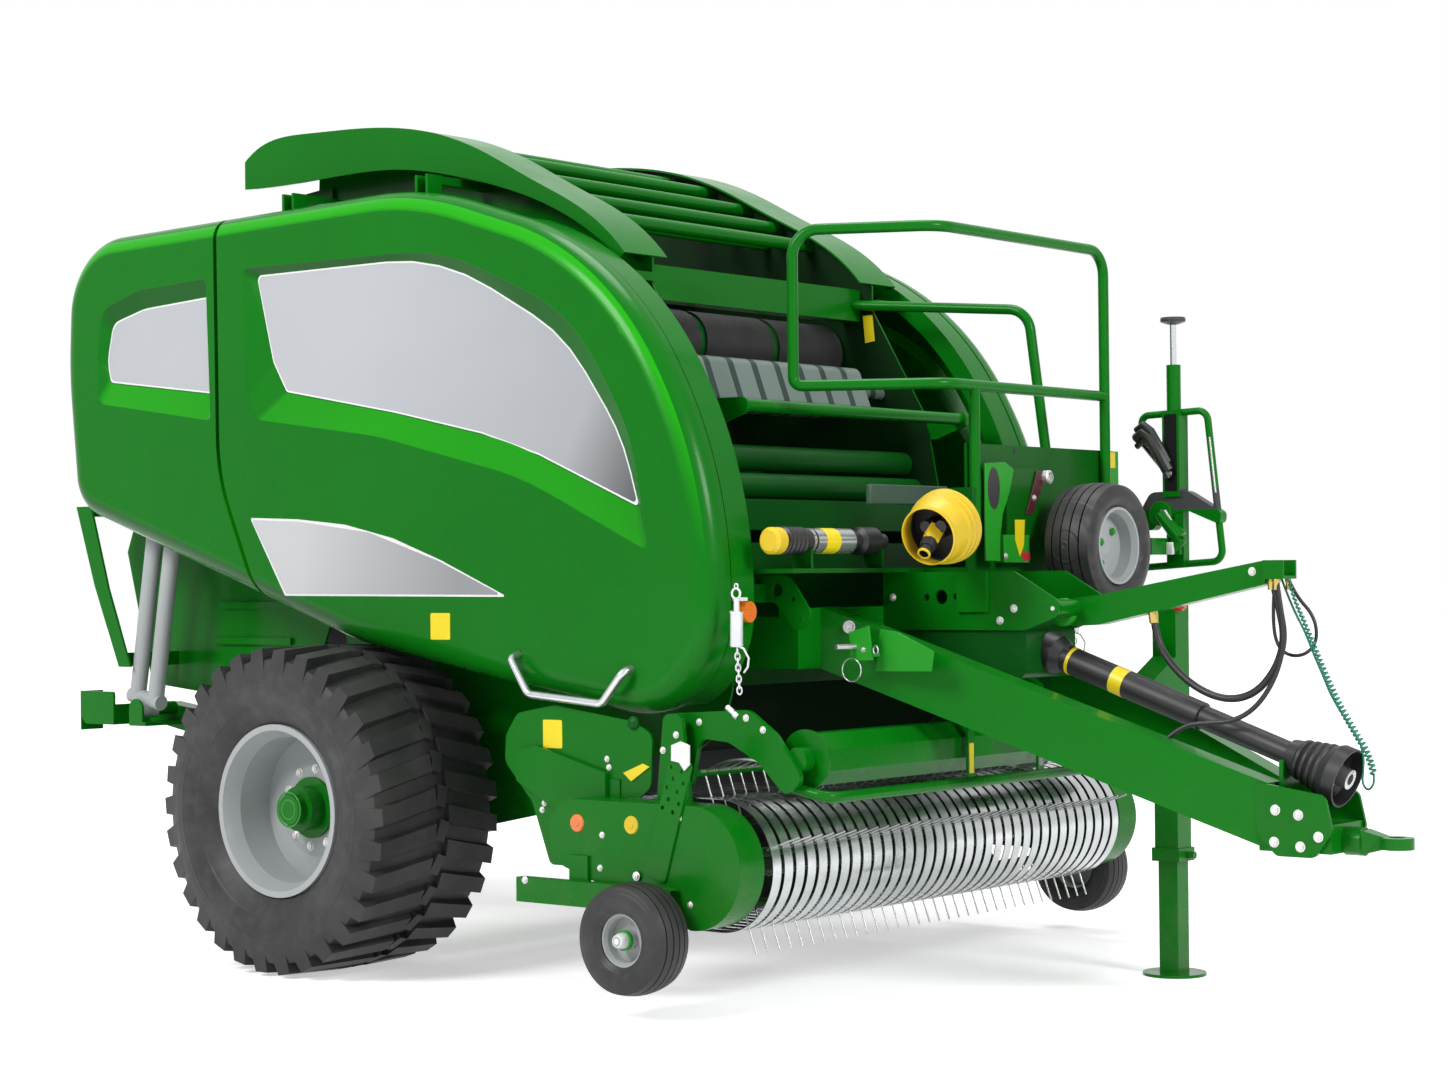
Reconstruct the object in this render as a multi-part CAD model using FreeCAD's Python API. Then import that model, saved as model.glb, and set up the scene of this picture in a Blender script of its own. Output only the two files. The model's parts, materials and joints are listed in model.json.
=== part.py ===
"""Round baler, built as named pieces.  Millimetres.  X forward, Y to the machine's left, Z up.

Every length below is measured from the middle of the axle, at ground level.  The finished
pieces are then shifted along X so that the origin lies under the middle of the machine.
"""
import FreeCAD
import Part
import math
import os

V = FreeCAD.Vector
Y_AXIS, Z_AXIS = V(0, 1, 0), V(0, 0, 1)

# ---------------------------------------------------------------- driving dimensions
GAP = 0.3                      # seat gap between pieces that do not touch face to face
FAR = 4000.0                   # longer than the machine's width, for cuts that run right through

# road wheels
WHEEL_R = 575.0                # over the lugs
WHEEL_W = 600.0
TRACK_Y = 1100.0               # wheel centre from the middle plane
AXLE_Z = 575.0                 # every other height belongs to this height of the axle
GROUND_Z = AXLE_Z - WHEEL_R
WHEEL_CLEAR = 2.0              # least height of the body panels' corner line over the tyre
LUG_H = 22.0
LUG_COUNT = 30
TREAD_BLOCK = 22.0             # half width of the middle block row
RIM_R = 302.0
RIM_W = 500.0
HUB_R = 78.0
HUB_LENGTH = 190.0             # hub cap outboard of the wheel's centre
RIM_DISH = 60.0                # rim disc outboard of the wheel's centre
RIM_DISC_T = 14.0
AXLE_HALF = 75.0               # half side of the square axle beam

# bale chamber and its walls
WALL_Y = 640.0                 # outer face of the chamber walls
WALL_T = 10.0
WALL_FRONT_X = 1480.0
RAIL_OUT_Y = 725.0             # outer face of the rear rails
CHAMBER_R = 880.0
CHAMBER_X, CHAMBER_Z = -430.0, 1800.0
BELT_T = 12.0
BELT_W = 385.0
BELT_COUNT = 3
ROLLER_R = 75.0

# body panels
PANEL_Y = 1040.0               # outermost face of the side doors
DOOR_IN_Y = 930.0              # inner edge of the doors' turned-in rim
BAND_IN_Y = 810.0              # inner edge of the fixed front band
PANEL_T = 9.0
PANEL_ROUND = 85.0
ARCH_Z = AXLE_Z + WHEEL_R + WHEEL_CLEAR
PANEL_FOOT_Z = ARCH_Z - 290    # lower front corner of the side: keeps the lower edge's rake over the tyre
BROW_Z = 1700.0                # corner of the side's front edge over the foot
BROW_ROUND = 1480 * (BROW_Z - PANEL_FOOT_Z) / 838      # the curve takes its size from the run over the foot
PANEL_CORNERS = [(387, 2757, 1500), (1290, 2465, 1180), (1716, BROW_Z, BROW_ROUND), (1716, PANEL_FOOT_Z, 343),
                 (47, ARCH_Z, 1500), (-1545, ARCH_Z + 520, 180), (-1602, 2200, 1500), (-1575, 2720, 310)]
SPLIT_CORNER = (-659.0, 1772.0)        # bend of the line between the door and the tailgate's cover
SPLIT_FOOT = (-412.0, 1240.0)
SPLIT_REACH = 140.0            # from the bend's corner to the ends of its arc
SPLIT_GAP = 20.0
FIELD_DEPTH = 24.0             # how far the pressed field round the large plates lies inward
DOOR_FIELD = [(-517, 2535, 30), (520, 2520, 1100), (1140, 2255, 700), (1392, 1840, 700), (1462, 1455, 18),
              (900, 1712, 1500), (200, 1880, 1500), (-440, 1966, 30), (-497, 2060, 80)]
DOOR_SILVER = [(-459, 2505, 20), (500, 2500, 1100), (1080, 2190, 700), (1335, 1840, 700), (1405, 1605, 10),
               (830, 1845, 1500), (268, 1965, 1500), (-300, 2067, 25), (-372, 2180, 80)]
COVER_FIELD = [(-722, 2515, 15), (-1120, 2500, 300), (-1345, 2440, 90), (-1372, 2240, 150), (-1365, 2070, 45),
               (-700, 1975, 20)]
COVER_SILVER = [(-720, 2447, 8), (-1110, 2428, 200), (-1300, 2385, 60), (-1338, 2240, 150), (-1318, 2155, 25),
                (-700, 2080, 8)]
FIN_IN_Y, FIN_OUT_Y = 560.0, 785.0
FIN_T = 8.0

# tailgate hinge and rams
TAIL_HINGE_X, TAIL_HINGE_Z = -600.0, 2810.0
HINGE_PIN_R, HINGE_LOBE_R = 20.0, 45.0
DOOR_HINGE_Y, DOOR_HINGE_Z = 905.0, 2790.0
DOOR_HINGE_XS = (-350.0, 350.0)
DOOR_PIN_R = 8.0
PIN_PLAY = 0.05                # radial play of a hinge pin
RAM_Y = 865.0
RAM_LOW = (-1310.0, 880.0)     # lower pin, X and Z
RAM_TOP = (-1130.0, 1900.0)    # upper pin, X and Z
RAM_R = 32.0
ROD_R = 20.0
RAM_PITCH = 110.0              # between the twin cylinders
RAM_BOSS = 80.0                # width of the lower boss
RAM_PIN_R = 25.0
ROD_HEAD_R = 30.0
STRIP_Y = 915.0                # inner face of the tailgate's outer strips
LAMP_X = -1668.0               # rear face of the tail lamps' tab

# pickup
PICKUP_PIVOT_X, PICKUP_PIVOT_Z = 950.0, 760.0
PICKUP_PIVOT_R = 32.0
PICKUP_ARM_Y = 1060.0
GUARD_ARM_Y = 985.0
REEL_X, REEL_Z = 1745.0, 460.0
BAND_R = 212.0
BAND_COUNT = 35
BAND_T = 3.0
BAND_W = 42.0
TINE_REACH = 295.0
TINE_D = 6.0
TINE_BARS = 4
TINE_FIRST = 20.0              # angle of the first tine bar at rest
SHIELD_Y = 1180.0
SHIELD_T = 8.0
SHIELD_IN_Y = 1060.0
BAND_SPAN = 2 * (SHIELD_IN_Y - 20)
LINK_X, LINK_Z = 1320.0, 690.0         # rear cross beam of the pickup
GAUGE_X, GAUGE_Y, GAUGE_Z = 1620.0, 1310.0, 250.0
GAUGE_R, GAUGE_W = 177.0, 150.0
GUARD_X, GUARD_Z = 1570.0, 900.0      # pivot of the wind guard
GUARD_PIN_R = 16.0
WIRE_R, WIRE_T = 330.0, 6.0           # guard wires: distance from the reel's axis, thickness
WIRE_COUNT = 32
CROP_X, CROP_Z, CROP_R = 2015.0, 800.0, 88.0

# drawbar and hitch
EYE_X, EYE_Z = 3560.0, 545.0
EYE_R, EYE_BORE_R, EYE_T = 52.0, 25.5, 36.0
BEAM_H, BEAM_W = 205.0, 90.0
BEAM_REAR = (1760.0, 470.0, 1170.0)
BEAM_FRONT = (3180.0, 62.0, 618.0)
CHEEK_IN_Y, CHEEK_OUT_Y = 107.0, 119.0
HEAD_Y = 150.0                 # inner face of the headstock plates
HEAD_T = 12.0
FLOOR_Z = 1385.0               # underside of the platform

# jack
JACK_X, JACK_Y = 2500.0, 490.0
JACK_TUBE, JACK_WALL = 90.0, 8.0
JACK_TOP_Z = 1280.0
JACK_LOW_Z = 390.0
FOOT_R, FOOT_T = 108.0, 10.0

# drive shaft
PTO_REAR = (2330.0, 0.0, 1115.0)
PTO_FRONT = (3400.0, 0.0, 735.0)
PTO_R, PTO_OUTER_R, PTO_BELL_R = 38.0, 46.0, 95.0
YOKE_BORE_R, YOKE_LENGTH = 17.5, 60.0

# platform in front of the chamber
PLATE_X = 2030.0
RAIL_R = 19.0
RAIL_LOW_Z, RAIL_TOP_Z = 2015.0, 2540.0
STOWED_X, STOWED_Y, STOWED_Z = 2240.0, 450.0, 1470.0
STOWED_R, STOWED_W, STOWED_RIM_R = 220.0, 190.0, 134.0
CONE_BASE = (2045.0, -330.0, 1513.0)
CONE_TILT = 17.0
CONE_WALL = 5.0
STEM_R, STEM_L = 24.0, 272.0
SHAFT_X, SHAFT_Z, SHAFT_R = 1815.0, 1490.0, 42.0
COLUMN_X, COLUMN_Y = 2230.0, 1000.0

# free hoses and the guard's safety line: name, radius, route
CORDS = [
    ("hose_main", 12.0, [(2725, -10, 1252), (2735, -12, 1165), (2790, -18, 1082), (2886, -24, 1005),
                         (3000, -28, 968), (3100, -28, 990), (3172, -24, 1070), (3200, -18, 1165),
                         (3180, -14, 1262), (3155, -12, 1356)]),
    ("hose_low", 8.0, [(2838, -122, 849), (2880, -102, 889), (2950, -86, 899), (3045, -72, 905),
                       (3122, -62, 950), (3180, -52, 1036), (3208, -44, 1130), (3204, -38, 1222),
                       (3190, -36, 1298), (3182, -35, 1356)]),
    ("hose_loop", 5.5, [(3192, 22, 1356), (3217, 23, 1300), (3280, 25, 1236), (3290, 26, 1158),
                        (3249, 25, 1113), (3188, 22, 1110), (3146, 19, 1152), (3141, 16, 1262),
                        (3152, 14, 1356)]),
    ("safety_coil", 13.0, [(3203, 2, 1356), (3222, 2, 1290), (3258, 0, 1220), (3309, -2, 1100),
                           (3362, -4, 985), (3424, -6, 885), (3478, -6, 805), (3488, -6, 752)]),
    ("safety_cord", 3.5, [(3488, -6, 753), (3480, 14, 733), (3466, 34, 714), (3446, 39, 697), (3427, 39, 720),
                          (3434, 36, 763), (3438, 28, 807), (3431, 20, 852), (3395, 15, 905), (3341, 13, 985),
                          (3314, 12, 1050), (3282, 10, 1120), (3258, 9, 1182), (3226, 8, 1240),
                          (3198, 8, 1300), (3176, 8, 1356)]),
]

LENGTH_REAR = -1700.0          # rearmost point of the tailgate
LENGTH_FRONT = EYE_X + EYE_R
SHIFT_X = -(LENGTH_REAR + LENGTH_FRONT) / 2


# ---------------------------------------------------------------- small helpers
def box(x0, x1, y0, y1, z0, z1):
    return Part.makeBox(x1 - x0, y1 - y0, z1 - z0, V(x0, y0, z0))


def rod(p, q, radius):
    """A round bar from p to q."""
    p, q = V(*p), V(*q)
    return Part.makeCylinder(radius, (q - p).Length, p, q - p)


def disc_y(x, y0, y1, z, radius):
    """A disc across the machine, from y0 to y1."""
    return Part.makeCylinder(radius, abs(y1 - y0), V(x, min(y0, y1), z), Y_AXIS)


def slab(outline, y0, y1):
    """A closed XZ wire made into a plate from y0 to y1."""
    face = Part.Face(outline)
    face.translate(V(0, y0, 0))
    return face.extrude(V(0, y1 - y0, 0))


def polygon(points):
    """A closed XZ polygon wire."""
    corners = [V(x, 0, z) for x, z in points]
    return Part.makePolygon(corners + corners[:1])


def plate(points, y0, y1):
    return slab(polygon(points), y0, y1)


def cross_plate(points, x0, x1):
    """A plate across the machine: a (Y, Z) polygon made solid from x0 to x1."""
    corners = [V(x0, y, z) for y, z in points]
    return Part.Face(Part.makePolygon(corners + corners[:1])).extrude(V(x1 - x0, 0, 0))


def aimed(shape, at, axis):
    """A piece built along +Z from the origin, put at a point with its +Z along the axis."""
    out = shape.copy()
    out.Placement = FreeCAD.Placement(V(*at), FreeCAD.Rotation(Z_AXIS, V(*axis)))
    return out


def turned(profile):
    """A closed (radius, Z) profile turned about the Z axis."""
    corners = [V(r, 0, z) for r, z in profile]
    body = Part.Face(Part.makePolygon(corners + corners[:1])).revolve(V(0, 0, 0), Z_AXIS, 360)
    return body if body.ShapeType == "Solid" else Part.Solid(body)


def spline(points):
    """A smooth XZ curve through the points."""
    curve = Part.BSplineCurve()
    curve.interpolate([V(x, 0, z) for x, z in points])
    return curve.toShape()


def line(p, q):
    return Part.makeLine(V(p[0], 0, p[1]), V(q[0], 0, q[1]))


def rounded(corners):
    """A closed XZ outline: straight sides joined by tangent arcs.  Corners are (x, z, radius)."""
    count = len(corners)
    pts = [V(x, 0, z) for x, z, r in corners]
    arcs = []
    for i, (x, z, radius) in enumerate(corners):
        into = (pts[i] - pts[i - 1]).normalize()
        out = (pts[(i + 1) % count] - pts[i]).normalize()
        turn = into.getAngle(out)
        reach = radius * math.tan(turn / 2)
        middle = pts[i] + (out - into).normalize() * (radius / math.cos(turn / 2) - radius)
        arcs.append((pts[i] - into * reach, middle, pts[i] + out * reach))
    edges = []
    for i, (start, middle, end) in enumerate(arcs):
        edges.append(Part.Arc(start, middle, end).toShape())
        edges.append(Part.makeLine(end, arcs[(i + 1) % count][0]))
    return Part.Wire(edges)


def revolved(section):
    """A closed (Y, distance from the axis) section turned about the Y axis."""
    body = Part.Face(section).revolve(V(0, 0, 0), Y_AXIS, 360)
    return body if body.ShapeType == "Solid" else Part.Solid(body)


def both(shape):
    """The piece and its mirror image across the middle plane."""
    return [shape, mirrored(shape)]


def mirrored(shape):
    return shape.mirror(V(0, 0, 0), Y_AXIS)


def fuse(shapes):
    whole = shapes[0].multiFuse(shapes[1:]) if len(shapes) > 1 else shapes[0]
    return whole.removeSplitter()


def bent_path(points, radii):
    """Straight runs joined by tangent arcs; radii has one value for each inner point."""
    pts = [V(*p) for p in points]
    edges, start = [], pts[0]
    for i, radius in enumerate(radii, start=1):
        into = (pts[i] - pts[i - 1]).normalize()
        out = (pts[i + 1] - pts[i]).normalize()
        turn = into.getAngle(out)
        reach = radius * math.tan(turn / 2)
        a, b = pts[i] - into * reach, pts[i] + out * reach
        inward = (out - into).normalize()
        middle = pts[i] + inward * (radius / math.cos(turn / 2) - radius)
        if (a - start).Length > 1e-6:
            edges.append(Part.makeLine(start, a))
        edges.append(Part.Arc(a, middle, b).toShape())
        start = b
    edges.append(Part.makeLine(start, pts[-1]))
    return Part.Wire(edges)


def tube_along(points, radii, radius):
    """A round bar that follows straight runs and tangent arcs."""
    path = bent_path(points, radii)
    first = V(*points[1]) - V(*points[0])
    circle = Part.Wire(Part.makeCircle(radius, V(*points[0]), first))
    return path.makePipeShell([circle], True, True)


def cord_tube(name, points, radius):
    """A free hose: arcs as large as its runs allow.  Prints its radii, length and volume."""
    pts = [V(*p) for p in points]
    radii = []
    for i in range(1, len(pts) - 1):
        into, out = pts[i] - pts[i - 1], pts[i + 1] - pts[i]
        turn = into.getAngle(out)
        radii.append(0.45 * min(into.Length, out.Length) / math.tan(turn / 2))
    tube = tube_along(points, radii, radius)
    length = bent_path(points, radii).Length
    ratio = tube.Volume / (math.pi * radius ** 2 * length)
    print(name, "length %.0f" % length, "least radius %.0f" % min(radii), "volume ratio %.4f" % ratio)
    return tube


def save(name, shapes):
    """Write one node, moved so that the origin is on the ground under the middle of the machine."""
    shapes = shapes if isinstance(shapes, list) else [shapes]
    solids = [s for shape in shapes for s in shape.Solids]
    for solid in solids:
        if not solid.isValid():
            print("INVALID", name)
    out = solids[0] if len(solids) == 1 else Part.makeCompound(solids)
    out = out.copy()
    out.translate(V(SHIFT_X, 0, -GROUND_Z))
    out.exportStep("parts/%s.step" % name)


def save_both(name, shape):
    """Write the left piece and its mirror image on the right."""
    save(name + "_left", shape)
    save(name + "_right", mirrored(shape))


# ---------------------------------------------------------------- road wheels
def lug(angle, side):
    """One slanted bar of the tread, from beside the middle block row down over the shoulder."""
    half = WHEEL_W / 2
    low, top = WHEEL_R - LUG_H - 12, WHEEL_R - 1
    root = [V(-34, TREAD_BLOCK + 6, low), V(40, TREAD_BLOCK + 6, low), V(92, half - 8, low - 70),
            V(16, half - 8, low - 70)]
    crown = [V(-28, TREAD_BLOCK + 8, top), V(34, TREAD_BLOCK + 8, top), V(82, half - 26, top - 12),
             V(24, half - 26, top - 12)]
    wires = [Part.makePolygon(p + p[:1]) for p in (root, crown)]
    piece = Part.makeLoft(wires, True, True)
    if side < 0:
        piece = mirrored(piece)
        angle += 180.0 / LUG_COUNT
    piece.rotate(V(0, 0, 0), Y_AXIS, angle)
    return piece


def tread_block(angle):
    """One block of the row along the middle of the tread."""
    reach = 360.0 / LUG_COUNT
    half = 0.30 * math.radians(reach) * WHEEL_R
    block = box(-half, half, -TREAD_BLOCK, TREAD_BLOCK, WHEEL_R - LUG_H - 12, WHEEL_R - 2)
    block.rotate(V(0, 0, 0), Z_AXIS, 18)
    block.rotate(V(0, 0, 0), Y_AXIS, angle)
    return block


def tyre_section(radius, width, bead, crown):
    """Closed half-section of a tyre, as (Y, distance from the axis)."""
    half = width / 2
    shoulder = radius - crown
    belly = bead + (shoulder - bead) * 0.55
    sides = []
    for side in (1, -1):
        curve = Part.BSplineCurve()
        points = [V(0, side * half * 0.80, bead), V(0, side * half, belly),
                  V(0, side * half * 0.93, shoulder)]
        curve.interpolate(points if side > 0 else points[::-1])
        sides.append(curve.toShape())
    tread = Part.Arc(V(0, half * 0.93, shoulder), V(0, 0, radius), V(0, -half * 0.93, shoulder)).toShape()
    inside = Part.makeLine(V(0, -half * 0.80, bead), V(0, half * 0.80, bead))
    return Part.Wire([sides[0], tread, sides[1], inside])


def ribbed_section(radius, width, bead, crown, ribs):
    """Closed section of a tyre with plain ribs round it, as (Y, distance from the axis)."""
    half, shoulder = width / 2, radius - crown
    edge, depth, groove = half * 0.9, 0.035 * radius, 0.03 * width
    rib = (2 * edge - (ribs - 1) * groove) / ribs
    belly = bead + (shoulder - bead) * 0.55

    def crest(y):
        return shoulder + crown * (1 - (y / edge) ** 2)
    tread = []
    for i in range(ribs):
        y0 = edge - i * (rib + groove)
        y1 = y0 - rib
        tread += [V(0, y0, crest(y0)), V(0, y1, crest(y1))]
        if i < ribs - 1:
            tread += [V(0, y1, crest(y1) - depth), V(0, y1 - groove, crest(y1 - groove) - depth)]
    first, last = Part.BSplineCurve(), Part.BSplineCurve()
    first.interpolate([V(0, half * 0.8, bead), V(0, half, belly), V(0, edge, shoulder)])
    last.interpolate([V(0, -edge, shoulder), V(0, -half, belly), V(0, -half * 0.8, bead)])
    inside = Part.makeLine(V(0, -half * 0.8, bead), V(0, half * 0.8, bead))
    return Part.Wire([first.toShape()] + Part.makePolygon(tread).Edges + [last.toShape(), inside])


def road_tyre():
    body = revolved(tyre_section(WHEEL_R - LUG_H, WHEEL_W - 8, RIM_R, 26))
    pitch = 360.0 / LUG_COUNT
    lugs = [lug(i * pitch, side) for side in (1, -1) for i in range(LUG_COUNT)]
    blocks = [tread_block(i * pitch) for i in range(LUG_COUNT)]
    return fuse([body] + lugs + blocks)


def rim_section(radius, width, dish_y, dish_t, hub_r):
    """Closed section of a dished rim, as (Y, distance from the axis): flanges, barrel and disc."""
    half, lip, drop, thick = width / 2, 0.07 * radius, 0.12 * radius, 0.035 * radius
    well = radius - drop
    pts = [(-half, radius), (-half, radius - lip), (-half * 0.76, well), (dish_y - drop, well - thick),
           (dish_y - 0.04 * radius, hub_r + 0.30 * radius), (dish_y, hub_r + 0.2 * radius), (dish_y, 0),
           (dish_y + dish_t, 0), (dish_y + dish_t, hub_r + 0.22 * radius),
           (dish_y + dish_t - 0.03 * radius, hub_r + 0.32 * radius),
           (dish_y + dish_t - drop / 2, well - thick), (half * 0.76, well - thick), (half, radius - lip),
           (half, radius)]
    corners = [V(0, y, r) for y, r in pts]
    return Part.makePolygon(corners + corners[:1])


def place_wheel(shape, x, y, z, side):
    out = shape if side > 0 else mirrored(shape)
    out = out.copy()
    out.translate(V(x, side * y, z))
    return out


def road_rim():
    return revolved(rim_section(RIM_R - GAP, RIM_W, RIM_DISH, RIM_DISC_T, HUB_R))


def build_wheels():
    tyre, rim = road_tyre(), road_rim()
    y_in = TRACK_Y + RIM_DISH + RIM_DISC_T
    y_mid, y_out = TRACK_Y + HUB_LENGTH - 40, TRACK_Y + HUB_LENGTH
    hub = fuse([disc_y(0, y_in, y_in + 14, AXLE_Z, HUB_R + 30), disc_y(0, y_in, y_mid, AXLE_Z, HUB_R),
                disc_y(0, y_in, y_out, AXLE_Z, HUB_R - 26)])
    for name, side in (("right", -1), ("left", 1)):
        save("tyre_" + name, place_wheel(tyre, 0, TRACK_Y, AXLE_Z, side))
        save("rim_" + name, place_wheel(rim, 0, TRACK_Y, AXLE_Z, side))
        save("hub_" + name, hub if side > 0 else mirrored(hub))


def tail_bracket():
    """Bracket behind the left ram foot that carries the tail lamps outboard."""
    stub = box(-1470, RAM_LOW[0] - 50, RAIL_OUT_Y - 25, RAIL_OUT_Y, 815, 895)
    arm = box(-1470, -1460, RAIL_OUT_Y - 25, 905, 815, 895)
    side = rounded([(-1460, 945, 12), (-1460, 815, 12), (LAMP_X + 30, 815, 25), (LAMP_X, 850, 25),
                    (LAMP_X, 945, 5)])
    tab = box(LAMP_X, LAMP_X + 8, 800, 905, 790, 945)
    return [stub, arm, slab(side, 895, 905), tab]


# ---------------------------------------------------------------- chassis
def build_axle():
    """Square beam between the wheels, its round stubs, and the side rails that carry the ram feet."""
    low_x, low_z = RAM_LOW
    beam = box(-AXLE_HALF, AXLE_HALF, -RAIL_OUT_Y, RAIL_OUT_Y, AXLE_Z - AXLE_HALF, AXLE_Z + AXLE_HALF)
    reach = TRACK_Y + RIM_DISH - GAP
    stubs = rod((0, -reach, AXLE_Z), (0, reach, AXLE_Z), 55)
    side = [(AXLE_HALF + 1, 500), (AXLE_HALF + 1, 660), (-300, 760), (low_x - 60, low_z + 20),
            (low_x - 60, low_z - 70), (-300, 620), (-AXLE_HALF - 1, 500)]
    rail = plate(side, WALL_Y, RAIL_OUT_Y)
    y_boss = RAM_Y + RAM_BOSS / 2 + GAP
    pin = disc_y(low_x, RAIL_OUT_Y - 1, y_boss + 10, low_z, RAM_PIN_R)
    cheek = disc_y(low_x, y_boss, y_boss + 10, low_z, 40)
    leg = box(low_x - 40, low_x + 40, y_boss, y_boss + 10, low_z - 65, low_z)
    web = box(low_x - 40, low_x + 60, RAIL_OUT_Y - 1, y_boss + 10, low_z - 65, low_z - 50)
    half = fuse([rail, pin, cheek, leg, web] + tail_bracket())
    save("axle_frame", fuse([beam, stubs] + both(half)))


def fin_top_points():
    """The crown line of the top fins; the chamber walls carry the fins along it."""
    return [(-790, 2985), (-696, 3036), (-425, 3056), (-99, 3040), (214, 2990), (464, 2900), (706, 2775),
            (941, 2652), (1145, 2480)]


def wall_plate():
    """Fixed chamber wall: its top carries the fin, its front the platform, its foot the axle."""
    crown = [(x, z - FIN_T - GAP) for x, z in fin_top_points()]
    under = Part.Wire([spline(crown), line(crown[-1], (1145, 2380)), line((1145, 2380), (1600, 1600)),
                       line((1600, 1600), (1600, 400)), line((1600, 400), (-790, 400)),
                       line((-790, 400), crown[0])])
    outline = polygon([(-520, 3100), (1300, 3100), (1390, 1950), (WALL_FRONT_X, 1500), (WALL_FRONT_X, 1000),
                       (1440, 860), (1080, 640), (700, 560), (300, 480), (-180, 480), (-330, 700),
                       (-420, 1300), (-565, 1700), (-650, 2000), (-650, 2560), (-545, 2740), (-535, 2790)])
    return slab(outline, WALL_Y - WALL_T, WALL_Y).common(slab(under, WALL_Y - WALL_T, WALL_Y))


def build_walls():
    """Chamber walls with the tailgate hinge pins, the pickup pivots and the door hinges."""
    wall = wall_plate()
    wall = wall.cut(box(-AXLE_HALF, AXLE_HALF, 0, FAR, AXLE_Z - AXLE_HALF, AXLE_Z + AXLE_HALF))
    x, z = TAIL_HINGE_X, TAIL_HINGE_Z
    lug_plate = plate([(x, z - 45), (-440, z - 60), (-440, z + 60), (x, z + 45)], WALL_Y + GAP, WALL_Y + 16)
    pad = box(-500, -440, WALL_Y - 1, WALL_Y + 1, z - 60, z + 60)
    boss = disc_y(x, WALL_Y + GAP, WALL_Y + 16, z, HINGE_LOBE_R)
    pin = disc_y(x, WALL_Y - WALL_T - 8, WALL_Y + 16, z, HINGE_PIN_R)
    pivot = disc_y(PICKUP_PIVOT_X, WALL_Y - 1, PICKUP_ARM_Y - GAP, PICKUP_PIVOT_Z, PICKUP_PIVOT_R)
    hangers = []
    for x in DOOR_HINGE_XS:
        hangers.append(box(x - 20, x + 20, WALL_Y - 1, DOOR_HINGE_Y + 12, DOOR_HINGE_Z - 14,
                           DOOR_HINGE_Z + 14))
        hangers.append(rod((x - 32, DOOR_HINGE_Y, DOOR_HINGE_Z), (x + 32, DOOR_HINGE_Y, DOOR_HINGE_Z),
                           DOOR_PIN_R))
    save("chassis_walls", both(fuse([wall, pad, lug_plate, boss, pin, pivot] + hangers)))


def tail_wall_outline():
    """Tailgate side plate: follows the split in front, runs down to the rear foot."""
    return polygon([(-665, 2600), (-700, 2745), (-1100, 2680), (-1380, 2520), (-1500, 2250),
                    (-1510, 1850), (-1640, 1640), (-1700, 1500), (-1560, 1010), (-1460, 960), (-1150, 930),
                    (-620, 930), (-440, 1310), (-590, 1700), (-665, 2000)])


def build_tail_frame():
    """Tailgate side plates with ribs, hinge lobes, panel stays and outer strips, and their cross tubes."""
    y_in = WALL_Y - WALL_T
    wall = slab(tail_wall_outline(), y_in, WALL_Y)
    lobe = disc_y(TAIL_HINGE_X, y_in, WALL_Y, TAIL_HINGE_Z, HINGE_LOBE_R)
    neck = plate([(TAIL_HINGE_X, TAIL_HINGE_Z - HINGE_LOBE_R), (TAIL_HINGE_X, TAIL_HINGE_Z + HINGE_LOBE_R),
                  (-760, 2745), (-660, 2600)], y_in, WALL_Y)
    bore = disc_y(TAIL_HINGE_X, 0, FAR, TAIL_HINGE_Z, HINGE_PIN_R + PIN_PLAY)
    stays = [box(-1120, -1070, WALL_Y, DOOR_IN_Y - GAP, 2680, 2712),
             box(-1588, -1560, y_in, DOOR_IN_Y - GAP, 2080, 2130),
             box(-1560, -1400, y_in, WALL_Y, 2080, 2130)]
    eye = disc_y(RAM_TOP[0], WALL_Y - 1, RAM_Y - ROD_HEAD_R - GAP, RAM_TOP[1], RAM_PIN_R)
    strip = plate([(-1660, 1680), (-1570, 1680), (-1462, 1350), (-1330, 1045), (-1400, 1045), (-1550, 1370)],
                  STRIP_Y, STRIP_Y + 10)
    webs = [box(-1650, -1575, WALL_Y - 1, STRIP_Y + 1, 1640, 1660),
            box(-1400, -1380, WALL_Y - 1, STRIP_Y + 1, 1046, 1100)]
    ribs = [box(x0, -700, WALL_Y - 1, WALL_Y + 14, z, z + 26)
            for x0, z in ((-1150, 1130), (-1120, 1270), (-1090, 1410), (-1060, 1550))]
    half = fuse([wall, lobe, neck, eye, strip] + stays + webs + ribs).cut(bore)
    tubes = [rod((x, -y_in, z), (x, y_in, z), 45)
             for x, z in ((-1500, 1060), (-1590, 1500), (-1330, 2400), (-700, 2680))]
    save("tailgate_frame", fuse(both(half) + tubes))


# ---------------------------------------------------------------- body panels
def panel_outline():
    """The whole side of the body, before the tailgate's part is split from the door."""
    return rounded(PANEL_CORNERS)


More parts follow.
